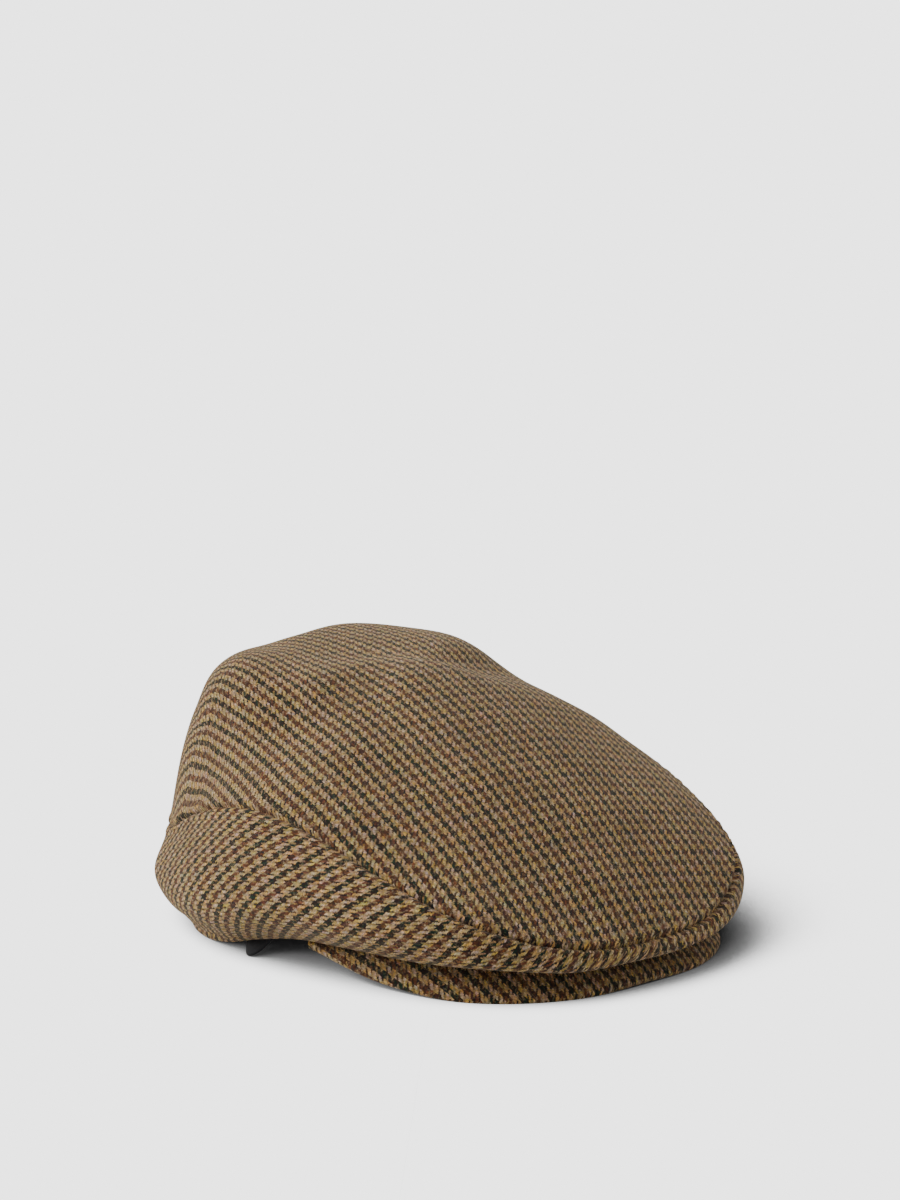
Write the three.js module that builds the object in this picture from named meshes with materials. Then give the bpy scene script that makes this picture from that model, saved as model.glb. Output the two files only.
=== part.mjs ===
// A flat cap of checked wool cloth: a top panel, two side panels that meet at the front and back, a
// stiff covered peak, a sweatband and a thin lining. Units are millimetres. +Z is up, the peak points
// along -Y and the wearer's left is +X. The cap lies on its hem and on the edge of its peak at z = 0.
//
// Every piece follows one set of sections. A section is a vertical cut through the crown's axis, at an
// angle counted from the front, and names the points that its cut passes through, as [radius, height].
import * as THREE from 'three';
import { mergeVertices } from 'three/addons/utils/BufferGeometryUtils.js';

// Driving dimensions
const WALL = 1.6; // cloth panels with their seam allowance
const GAP = 0.3; // between neighbouring pieces
const JOIN_ANGLE = 0.09; // half of the gap where the side panels meet, in degrees
const APEX_HEIGHT = 114.5;
const LINING = { wall: 0.8, inset: 3.5, footOut: 0.8, footRise: 21 };
const BAND = { wall: 1, height: 28, inset: 1, lean: 1.2, rise: 0.5 };
const BAND_END = { angle: 90, halfWidth: 9, low: 1.5 }; // the band's sewn end hangs below the hem
const PEAK = { thickness: 3.4, tip: 64, clearance: 0.7, innerOut: 1, bend: 3 };

// The crown's sections from front (0) to back (180); the other side is the same, mirrored.
//   hem       inner edge of the turned-under cloth, where the sweatband is sewn
//   fold      lowest turn of the cloth, the lip in front and the hem roll behind
//   bulge     widest point of the side panel
//   seam      join of side panel and top panel
//   mid       half-way up the top panel
//   shoulder  rim of the flat crown
//   waist     the lining, half-way up
//   edge      lower outer edge of the peak
const SECTIONS = [
  { at: 0, hem: [110, 19], fold: [156, 12.5], bulge: [158.5, 15], seam: [157, 21], mid: [94.5, 73],
    shoulder: [28.5, 107], waist: [111, 53], edge: [152.5, 0.6] },
  { at: 15, hem: [109, 19], fold: [156.5, 13.5], bulge: [158.5, 16.5], seam: [156, 23], mid: [94, 73.5],
    shoulder: [28.5, 107], waist: [110, 54], edge: [152, -0.6] },
  { at: 30, hem: [105, 18.5], fold: [150, 17], bulge: [153.5, 24], seam: [150, 34.5], mid: [91, 75],
    shoulder: [29.5, 107.5], waist: [106.5, 56], edge: [142.5, -0.4] },
  { at: 45, hem: [100, 17], fold: [132, 18], bulge: [141, 28.5], seam: [129, 50], mid: [81, 82.5],
    shoulder: [31.5, 107], waist: [101.5, 59], edge: [122.5, 2.6] },
  { at: 60, hem: [95, 14], fold: [111, 16], bulge: [126, 30], seam: [111, 61], mid: [73, 89],
    shoulder: [34, 106], waist: [97, 61], edge: [105, 8.5] },
  { at: 80, hem: [91.5, 9.5], fold: [95.5, 8.5], bulge: [115, 25], seam: [99.5, 65.5], mid: [69.5, 90],
    shoulder: [41, 106], waist: [93, 61], edge: [92, 12.5] },
  { at: 92, hem: [89.5, 4], fold: [92.5, 2.5], bulge: [112.5, 22], seam: [96, 62.5], mid: [71.5, 90],
    shoulder: [48, 107], waist: [91.5, 59], edge: [90, 13] },
  { at: 105, hem: [87.5, 2.5], fold: [90.5, -0.5], bulge: [109, 20.5], seam: [94, 55.5], mid: [75.5, 90],
    shoulder: [57, 107], waist: [89.5, 56], edge: [88, 13.5] },
  { at: 130, hem: [85, 3], fold: [87.5, 0.3], bulge: [105.8, 19.5], seam: [100, 38], mid: [87.6, 85.6],
    shoulder: [74.8, 106], waist: [92, 50], edge: [88, 13.5] },
  { at: 155, hem: [86.5, 2.5], fold: [89.5, -0.4], bulge: [103, 16], seam: [104, 32], mid: [92.4, 84],
    shoulder: [76, 107.2], waist: [95, 48], edge: [88, 13.5] },
  { at: 180, hem: [89, 2.5], fold: [92.5, -0.7], bulge: [101.5, 15], seam: [102.5, 30], mid: [91.5, 80.5],
    shoulder: [68, 109], waist: [96, 46], edge: [88, 13.5] },
];
const CROWN_LINES = ['hem', 'fold', 'bulge', 'seam', 'mid', 'shoulder'];
const SEAM_LINE = CROWN_LINES.indexOf('seam');
const MID_LINE = CROWN_LINES.indexOf('mid');
const APEX_LINE = CROWN_LINES.length;

// Where the faceted walls have their edges, as line numbers of CROWN_LINES
const SIDE_STEPS = [0, 0.35, 0.7, 0.88, 1, 1.12, 1.3, 1.6, 2, 2.4, 2.75];
const TOP_STEPS = [3.25, 3.6, 4, 4.35, 4.7, 5, 5.4];
const TURN = { top: 72, side: 36, peak: 44, band: 72, lining: 48 };

/** Slope of a curve at knot k, from the parabola through it and its neighbours. */
function slope(knots, values, k) {
  const before = knots[k] - knots[k - 1];
  const after = knots[k + 1] - knots[k];
  const rise = ((values[k] - values[k - 1]) * after) / before;
  return (rise + ((values[k + 1] - values[k]) * before) / after) / (before + after);
}

/** Point of a cubic that leaves a with slope m and reaches b with slope n, over the width h. */
function cubic(a, b, m, n, h, f) {
  const g = 1 - f;
  return a * (1 + 2 * f) * g * g + b * f * f * (3 - 2 * f) + h * f * g * (m * g - n * f);
}

const AROUND = [
  { ...SECTIONS[1], at: -SECTIONS[1].at },
  ...SECTIONS,
  { ...SECTIONS.at(-2), at: 360 - SECTIONS.at(-2).at },
];
const ANGLES = AROUND.map((section) => section.at);

/** [radius, height] of a named line at any angle in degrees. */
function lineAt(name, angle) {
  const turned = ((angle % 360) + 360) % 360;
  const folded = turned > 180 ? 360 - turned : turned;
  let k = 1;
  while (k < ANGLES.length - 3 && folded > ANGLES[k + 1]) k += 1;
  const width = ANGLES[k + 1] - ANGLES[k];
  const f = (folded - ANGLES[k]) / width;
  return [0, 1].map((axis) => {
    const values = AROUND.map((section) => section[name][axis]);
    const [m, n] = [slope(ANGLES, values, k), slope(ANGLES, values, k + 1)];
    return cubic(values[k], values[k + 1], m, n, width, f);
  });
}

/** A smooth curve through [radius, height] points that ends on the axis; step 1.5 is between 1 and 2. */
function profile(points) {
  const [lastRadius, lastHeight] = points.at(-2);
  const through = [...points, [-lastRadius, lastHeight]];
  const knots = [0];
  for (let k = 1; k < through.length; k += 1) {
    const chord = Math.hypot(through[k][0] - through[k - 1][0], through[k][1] - through[k - 1][1]);
    knots.push(knots[k - 1] + Math.sqrt(chord));
  }
  return (step) => {
    const k = Math.min(Math.floor(step), points.length - 2);
    const width = knots[k + 1] - knots[k];
    return [0, 1].map((axis) => {
      const values = through.map((point) => point[axis]);
      const leave = k === 0 ? (values[1] - values[0]) / width : slope(knots, values, k);
      return cubic(values[k], values[k + 1], leave, slope(knots, values, k + 1), width, step - k);
    });
  };
}

/** The point at a radius and height on the section at an angle. */
function place([radius, height], angle) {
  const turn = THREE.MathUtils.degToRad(angle);
  return new THREE.Vector3(-radius * Math.sin(turn), -radius * Math.cos(turn), height);
}

function crownProfile(angle) {
  return profile([...CROWN_LINES.map((name) => lineAt(name, angle)), [0, APEX_HEIGHT]]);
}

/** A point of the crown's outer face, by angle and line number. */
function crownPoint(angle, step) {
  return place(crownProfile(angle)(step), angle);
}

/** The way that the crown's outer face looks. */
function crownNormal(angle, step) {
  if (step > APEX_LINE - 0.01) return new THREE.Vector3(0, 0, 1);
  const small = 0.01;
  const low = Math.max(step - small, 0);
  const rise = crownPoint(angle, step + small).sub(crownPoint(angle, low));
  const round = crownPoint(angle + small, step).sub(crownPoint(angle - small, step));
  return rise.cross(round).normalize();
}

/** The crown's outer face moved out (or, below zero, in) by a distance, and never below the floor. */
function crownOffset(angle, step, distance) {
  const point = crownPoint(angle, step).addScaledVector(crownNormal(angle, step), distance);
  point.z = Math.max(point.z, 0);
  return point;
}

/** A point half a gap above or below the seam, on the outer face or moved in from it. */
function besideSeam(angle, side, distance) {
  const small = 0.01;
  const along = crownPoint(angle, SEAM_LINE + small).sub(crownPoint(angle, SEAM_LINE)).normalize();
  return crownOffset(angle, SEAM_LINE, distance).addScaledVector(along, (side * GAP) / 2);
}

function spread(from, to, count) {
  return Array.from({ length: count + 1 }, (_, i) => from + ((to - from) * i) / count);
}

/** Gathers triangles into one indexed geometry and leaves out those that shrink to a line. */
function solid(quads) {
  const corners = quads.flatMap(([a, b, c, d]) => [[a, b, c], [a, c, d]]);
  const whole = corners.filter(([a, b, c]) => {
    const across = b.clone().sub(a).cross(c.clone().sub(a));
    return across.length() > 1e-6;
  });
  const geometry = new THREE.BufferGeometry().setFromPoints(whole.flat());
  return mergeVertices(geometry, 1e-4);
}

/** Quads over a grid of points; rows run round the cap and columns run up it. */
function faces(grid, wrap, flip) {
  const quads = [];
  const rows = wrap ? grid.length : grid.length - 1;
  for (let i = 0; i < rows; i += 1) {
    const [here, next] = [grid[i], grid[(i + 1) % grid.length]];
    for (let j = 0; j < here.length - 1; j += 1) {
      const quad = [here[j], here[j + 1], next[j + 1], next[j]];
      quads.push(flip ? quad.reverse() : quad);
    }
  }
  return quads;
}

/** A wall between an outer and an inner grid, closed along all its rims. */
function wall(outer, inner, wrap = false) {
  const strip = (pick) => outer.map((row, i) => [pick(inner[i]), pick(row)]);
  const quads = [...faces(outer, wrap, false), ...faces(inner, wrap, true)];
  quads.push(...faces(strip((row) => row[0]), wrap, false));
  quads.push(...faces(strip((row) => row.at(-1)), wrap, true));
  if (!wrap) {
    quads.push(...faces([inner[0], outer[0]], false, false));
    quads.push(...faces([inner.at(-1), outer.at(-1)], false, true));
  }
  return solid(quads);
}

function piece(name, geometry, color, roughness) {
  geometry.computeVertexNormals();
  const mesh = new THREE.Mesh(geometry, new THREE.MeshStandardMaterial({ color, roughness, metalness: 0 }));
  mesh.name = name;
  return mesh;
}

function topPanel() {
  const angles = spread(0, 360, TURN.top).slice(0, -1);
  const skin = (distance) => angles.map((angle) => [
    besideSeam(angle, 1, distance),
    ...TOP_STEPS.map((step) => crownOffset(angle, step, distance)),
    new THREE.Vector3(0, 0, APEX_HEIGHT + distance),
  ]);
  return piece('top_panel', wall(skin(0), skin(-WALL), true), 0x8a6d52, 0.95);
}

function sidePanel(name, from, to) {
  const angles = spread(from + JOIN_ANGLE, to - JOIN_ANGLE, TURN.side);
  const skin = (distance) => angles.map((angle) => [
    ...SIDE_STEPS.map((step) => crownOffset(angle, step, distance)),
    besideSeam(angle, -1, distance),
  ]);
  return piece(name, wall(skin(0), skin(-WALL)), 0x866a4f, 0.95);
}

/** Height of the crown's underside, between hem and fold, at a radius. */
function underside(angle, radius) {
  const curve = crownProfile(angle);
  let step = 0;
  while (step < 1 && curve(step + 0.05)[0] < radius) step += 0.05;
  const [[r0, z0], [r1, z1]] = [curve(step), curve(step + 0.05)];
  return z0 + ((z1 - z0) * (radius - r0)) / (r1 - r0);
}

/** The peak's cut at an angle: a flat strip under the crown that bends down to its rounded edge. */
function peakSection(angle) {
  const half = PEAK.thickness / 2;
  const [hemRadius] = lineAt('hem', angle);
  const [edgeRadius, edgeHeight] = lineAt('edge', angle);
  const [start, end] = [hemRadius + PEAK.innerOut, edgeRadius - half];
  const level = (radius) => underside(angle, radius) - PEAK.clearance - half * 1.1;
  const drop = level(end) - (edgeHeight + half);
  const middle = (f) => {
    const radius = start + (end - start) * f;
    return [radius, level(radius) - drop * f ** PEAK.bend];
  };
  const shares = spread(0, 1, 5);
  const cuts = shares.map((f) => {
    const [low, high] = [middle(Math.max(f - 0.02, 0)), middle(Math.min(f + 0.02, 1))];
    return { centre: middle(f), lean: Math.atan2(high[1] - low[1], high[0] - low[0]) };
  });
  const around = (cut, turn) => {
    const height = cut.centre[1] + half * Math.sin(cut.lean + turn);
    return place([cut.centre[0] + half * Math.cos(cut.lean + turn), Math.max(height, 0)], angle);
  };
  const right = Math.PI / 2;
  return [
    ...cuts.map((cut) => around(cut, right)),
    ...[0.6, 0.2, -0.2, -0.6].map((share) => around(cuts.at(-1), right * share)),
    ...cuts.toReversed().map((cut) => around(cut, -right)),
  ];
}

function peak() {
  const rings = spread(-PEAK.tip, PEAK.tip, TURN.peak).map(peakSection);
  const loops = rings.map((ring) => [...ring, ring[0]]);
  const cap = (ring) => {
    const count = ring.length;
    return spread(0, count / 2 - 2, count / 2 - 2).map((i) => (
      [ring[i], ring[i + 1], ring[count - 2 - i], ring[count - 1 - i]]
    ));
  };
  const quads = [...faces(loops, false, true), ...cap(rings[0])];
  quads.push(...cap(rings.at(-1)).map((quad) => quad.reverse()));
  return piece('peak', solid(quads), 0x5e4937, 0.95);
}

/** Share of the sweatband's sewn end at an angle, from 0 away from it to 1 in its middle. */
function bandEnd(angle) {
  const away = Math.abs(angle - BAND_END.angle) / BAND_END.halfWidth;
  return away < 1 ? Math.cos((away * Math.PI) / 2) ** 2 : 0;
}

function sweatband() {
  const angles = spread(0, 360, TURN.band).slice(0, -1);
  const skin = (inward) => angles.map((angle) => {
    const [hemRadius, hemHeight] = lineAt('hem', angle);
    const bottom = THREE.MathUtils.lerp(hemHeight + BAND.rise, BAND_END.low, bandEnd(angle));
    const radius = hemRadius - BAND.inset - inward;
    const top = hemHeight + BAND.rise + BAND.height;
    return [0, 0.5, 1].map((share) => (
      place([radius - BAND.lean * share, THREE.MathUtils.lerp(bottom, top, share)], angle)
    ));
  });
  return piece('sweatband', wall(skin(0), skin(BAND.wall), true), 0x16161a, 0.6);
}

/** The lining hangs from inside the crown down to the back of the sweatband. */
function lining() {
  const angles = spread(0, 360, TURN.lining).slice(0, -1);
  const inCrown = (angle, step) => {
    const point = crownOffset(angle, step, -LINING.inset);
    return [Math.hypot(point.x, point.y), point.z];
  };
  const skin = (inward) => angles.map((angle) => {
    const [hemRadius, hemHeight] = lineAt('hem', angle);
    const curve = profile([
      [hemRadius + LINING.footOut, hemHeight + LINING.footRise],
      lineAt('waist', angle),
      inCrown(angle, MID_LINE),
      inCrown(angle, MID_LINE + 1),
      [0, APEX_HEIGHT - LINING.inset],
    ]);
    return [0, 0.5, 1, 1.5, 2, 2.5, 3, 4].map((step) => {
      const [radius, height] = curve(step);
      const [ahead] = [curve(Math.min(step + 0.02, 4))];
      const behind = curve(Math.max(step - 0.02, 0));
      const run = Math.hypot(ahead[0] - behind[0], ahead[1] - behind[1]) || 1;
      const across = step === 4 ? [0, -1] : [behind[1] - ahead[1], ahead[0] - behind[0]].map((v) => v / run);
      return place([radius + across[0] * inward, height + across[1] * inward], angle);
    });
  });
  return piece('lining', wall(skin(0), skin(LINING.wall), true), 0x1a1a1e, 0.7);
}

const cap = new THREE.Group();
cap.name = 'flat_cap';
cap.add(
  topPanel(),
  sidePanel('side_panel_right', 0, 180),
  sidePanel('side_panel_left', 180, 360),
  peak(),
  sweatband(),
  lining(),
);

// The origin is on the floor, under the middle of the whole cap.
const middle = new THREE.Box3().setFromObject(cap).getCenter(new THREE.Vector3());
cap.position.set(-middle.x, -middle.y, 0);

export default cap;
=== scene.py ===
"""A flat cap in woollen gun-club check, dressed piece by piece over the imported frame.

Sizes are millimetres in the tables and dataclasses, and metres in the scene.
+Z is up, the peak points along -Y and the wearer's left is +X, as in the frame.
"""
import logging
import math
from dataclasses import dataclass

import bmesh
import bpy
import numpy as np
from mathutils import Matrix, Vector


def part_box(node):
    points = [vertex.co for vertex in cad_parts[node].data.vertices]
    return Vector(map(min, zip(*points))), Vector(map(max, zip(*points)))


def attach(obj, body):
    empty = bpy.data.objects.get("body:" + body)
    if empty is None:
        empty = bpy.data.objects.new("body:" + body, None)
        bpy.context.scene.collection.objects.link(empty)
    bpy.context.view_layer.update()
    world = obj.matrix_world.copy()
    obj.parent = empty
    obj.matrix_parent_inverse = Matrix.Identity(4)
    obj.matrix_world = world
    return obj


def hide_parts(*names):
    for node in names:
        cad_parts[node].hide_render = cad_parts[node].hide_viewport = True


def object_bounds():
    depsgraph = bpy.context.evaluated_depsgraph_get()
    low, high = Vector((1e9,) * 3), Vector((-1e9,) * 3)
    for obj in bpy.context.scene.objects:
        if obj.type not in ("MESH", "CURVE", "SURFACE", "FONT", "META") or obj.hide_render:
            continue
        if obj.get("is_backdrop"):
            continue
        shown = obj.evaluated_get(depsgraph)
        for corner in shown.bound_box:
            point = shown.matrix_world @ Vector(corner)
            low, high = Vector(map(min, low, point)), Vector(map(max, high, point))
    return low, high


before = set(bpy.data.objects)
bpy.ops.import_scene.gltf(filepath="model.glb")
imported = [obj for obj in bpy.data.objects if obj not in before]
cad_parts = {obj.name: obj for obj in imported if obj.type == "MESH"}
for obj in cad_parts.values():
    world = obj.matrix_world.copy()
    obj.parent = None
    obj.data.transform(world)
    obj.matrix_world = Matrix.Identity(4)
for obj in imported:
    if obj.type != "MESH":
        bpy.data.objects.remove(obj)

MM = 0.001
CAD_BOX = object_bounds()
LOG = logging.getLogger("flat_cap")

Pair = tuple[float, float]
Triple = tuple[float, float, float]
Colour = Triple
Grid = np.ndarray
Out = bpy.types.NodeSocket
Value = Out | Colour | float


# --------------------------------------
# The crown's sections
# --------------------------------------


@dataclass(frozen=True)
class Section:
    """A vertical cut through the crown's axis, as (radius, height) pairs in millimetres.

    Attributes:
        at: Its angle from the front, in degrees.
        hem: Inner edge of the turned-under cloth.
        fold: Lowest turn of the cloth.
        bulge: Widest point of the side panel.
        seam: Join of side panel and top panel.
        mid: Half-way up the top panel.
        shoulder: Rim of the flat crown.
        waist: The lining, half-way up.
        edge: Lower outer edge of the peak.
        grain: Angle between warp and hem on the side panel, in degrees.
    """

    at: float
    hem: Pair
    fold: Pair
    bulge: Pair
    seam: Pair
    mid: Pair
    shoulder: Pair
    waist: Pair
    edge: Pair
    grain: float


SECTIONS = (
    Section(0, hem=(110, 19), fold=(156, 12.5), bulge=(158.5, 15), seam=(157, 21), mid=(94.5, 73),
            shoulder=(28.5, 107), waist=(111, 53), edge=(152.5, 0.6), grain=90),
    Section(15, hem=(109, 19), fold=(156.5, 13.5), bulge=(158.5, 16.5), seam=(156, 23), mid=(94, 73.5),
            shoulder=(28.5, 107), waist=(110, 54), edge=(152, -0.6), grain=74),
    Section(30, hem=(105, 18.5), fold=(150, 17), bulge=(153.5, 24), seam=(150, 34.5), mid=(91, 75),
            shoulder=(29.5, 107.5), waist=(106.5, 56), edge=(142.5, -0.4), grain=58),
    Section(45, hem=(100, 17), fold=(132, 18), bulge=(141, 28.5), seam=(129, 50), mid=(81, 82.5),
            shoulder=(31.5, 107), waist=(101.5, 59), edge=(122.5, 2.6), grain=44),
    Section(60, hem=(95, 14), fold=(111, 16), bulge=(126, 30), seam=(111, 61), mid=(73, 89),
            shoulder=(34, 106), waist=(97, 61), edge=(105, 8.5), grain=35),
    Section(80, hem=(91.5, 9.5), fold=(95.5, 8.5), bulge=(115, 25), seam=(99.5, 65.5), mid=(69.5, 90),
            shoulder=(41, 106), waist=(93, 61), edge=(92, 12.5), grain=26),
    Section(92, hem=(89.5, 4), fold=(92.5, 2.5), bulge=(112.5, 22), seam=(96, 62.5), mid=(71.5, 90),
            shoulder=(48, 107), waist=(91.5, 59), edge=(90, 13), grain=22),
    Section(105, hem=(87.5, 2.5), fold=(90.5, -0.5), bulge=(109, 20.5), seam=(94, 55.5), mid=(75.5, 90),
            shoulder=(57, 107), waist=(89.5, 56), edge=(88, 13.5), grain=18),
    Section(130, hem=(85, 3), fold=(87.5, 0.3), bulge=(105.8, 19.5), seam=(100, 38), mid=(87.6, 85.6),
            shoulder=(74.8, 106), waist=(92, 50), edge=(88, 13.5), grain=12),
    Section(155, hem=(86.5, 2.5), fold=(89.5, -0.4), bulge=(103, 16), seam=(104, 32), mid=(92.4, 84),
            shoulder=(76, 107.2), waist=(95, 48), edge=(88, 13.5), grain=7),
    Section(180, hem=(89, 2.5), fold=(92.5, -0.7), bulge=(101.5, 15), seam=(102.5, 30), mid=(91.5, 80.5),
            shoulder=(68, 109), waist=(96, 46), edge=(88, 13.5), grain=3),
)
APEX_HEIGHT = 114.5
CROWN_LINES = ("hem", "fold", "bulge", "seam", "mid", "shoulder")
SEAM = CROWN_LINES.index("seam")
FOLD = CROWN_LINES.index("fold")
APEX = len(CROWN_LINES)
WALL = 1.6

# A ripple is a sum of these waves, as shares of its usual wave, over a size that keeps it near 1
RIPPLE_WAVES = (0.62, 0.8, 1.0, 1.27, 1.6)
RIPPLE_SIZE = 2.4


def parabola_slopes(knots: Grid, values: Grid) -> Grid:
    """Slopes at the inner knots from the parabola through each knot and its two neighbours.

    Args:
        knots: Where the values are, along the last axis but one of values.
        values: What a curve passes through.

    Returns:
        One slope for each inner knot.
    """
    gap = np.diff(knots, axis=-1)[..., None]
    rate = np.diff(values, axis=-2) / gap
    before, after = gap[..., :-1, :], gap[..., 1:, :]
    return (rate[..., :-1, :] * after + rate[..., 1:, :] * before) / (before + after)


def cubic(a: Grid, b: Grid, leave: Grid, reach: Grid, width: Grid, share: Grid) -> Grid:
    """Point of a cubic between two knots.

    Args:
        a: Values at the first knot.
        b: Values at the second knot.
        leave: Slopes at the first knot.
        reach: Slopes at the second knot.
        width: Distance between the knots.
        share: Share of the way from the first to the second.

    Returns:
        The values there.
    """
    rest = 1 - share
    ends = a * (1 + 2 * share) * rest**2 + b * share**2 * (3 - 2 * share)
    return ends + width * share * rest * (leave * rest - reach * share)


def smooth_share(value: Grid, low: float, high: float) -> Grid:
    """A value's smooth share of the way from low to high, from 0 to 1."""
    share = np.clip((value - low) / (high - low), 0, 1)
    return share * share * (3 - 2 * share)


def bell(away: Grid, centre: float, width: float) -> Grid:
    """A smooth bump of height 1 at a distance, which is down to a third a width from it."""
    return np.exp(-(((away - centre) / width) ** 2))


def smooth_noise(place: Grid, wave: float, seed: int, around: float = 0.0) -> Grid:
    """A smooth random ripple between about -1 and 1.

    Args:
        place: Distances along the ripple.
        wave: Usual distance from crest to crest.
        seed: Chooses the ripple.
        around: Length after which the ripple repeats, or 0 if it need not.

    Returns:
        The ripple's height at each place.
    """
    rng = np.random.default_rng(seed)
    total = np.zeros_like(place, dtype=float)
    for share in RIPPLE_WAVES:
        turns = 1 / (wave * share)
        if around:
            turns = max(round(around * turns), 1) / around
        total += np.sin(2 * np.pi * (turns * place + rng.random())) * (0.8 + 0.4 * rng.random())
    return total / RIPPLE_SIZE


class SurfaceNoise:
    """Smooth random heights over space, the same for every piece of cloth that meets there.

    Attributes:
        SPREAD: Shortest and longest wave, as shares of the usual one.
    """

    SPREAD = (0.7, 1.5)

    def __init__(self, wave: float, seed: int, waves: int = 24) -> None:
        """Draws the directions and phases of the waves.

        Args:
            wave: Usual distance from crest to crest, in millimetres.
            seed: Chooses the noise.
            waves: How many plane waves are added.
        """
        rng = np.random.default_rng(seed)
        ways = rng.normal(size=(waves, 3))
        ways /= np.linalg.norm(ways, axis=1)[:, None]
        self.ways = ways * 2 * np.pi / (wave * rng.uniform(*self.SPREAD, waves))[:, None]
        self.phases = rng.uniform(0, 2 * np.pi, waves)

    def at(self, points: Grid) -> Grid:
        """Height of the noise, mostly between -1 and 1, at points in millimetres."""
        return np.sin(points @ self.ways.T + self.phases).sum(-1) / math.sqrt(len(self.phases))


@dataclass(frozen=True)
class Dent:
    """A soft hollow (or, with a negative depth, a swelling) in the crown's cloth.

    Attributes:
        centre: Its middle, in millimetres from the crown's axis and the floor.
        along: The way of its longer side.
        length: Reach along that way.
        width: Reach across it.
        depth: How far the cloth is pushed in.
    """

    centre: Triple
    along: Triple
    length: float
    width: float
    depth: float

    def press(self, points: Grid) -> Grid:
        """How far the cloth is pushed in.

        Args:
            points: Places in millimetres from the crown's axis and the floor.

        Returns:
            The push at each point, in millimetres.
        """
        away = points - np.array(self.centre)
        way = np.array(self.along) / np.linalg.norm(self.along)
        lengthwise = away @ way
        across = np.linalg.norm(away - lengthwise[..., None] * way, axis=-1)
        return self.depth * np.exp(-((lengthwise / self.length) ** 2) - (across / self.width) ** 2)


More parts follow.
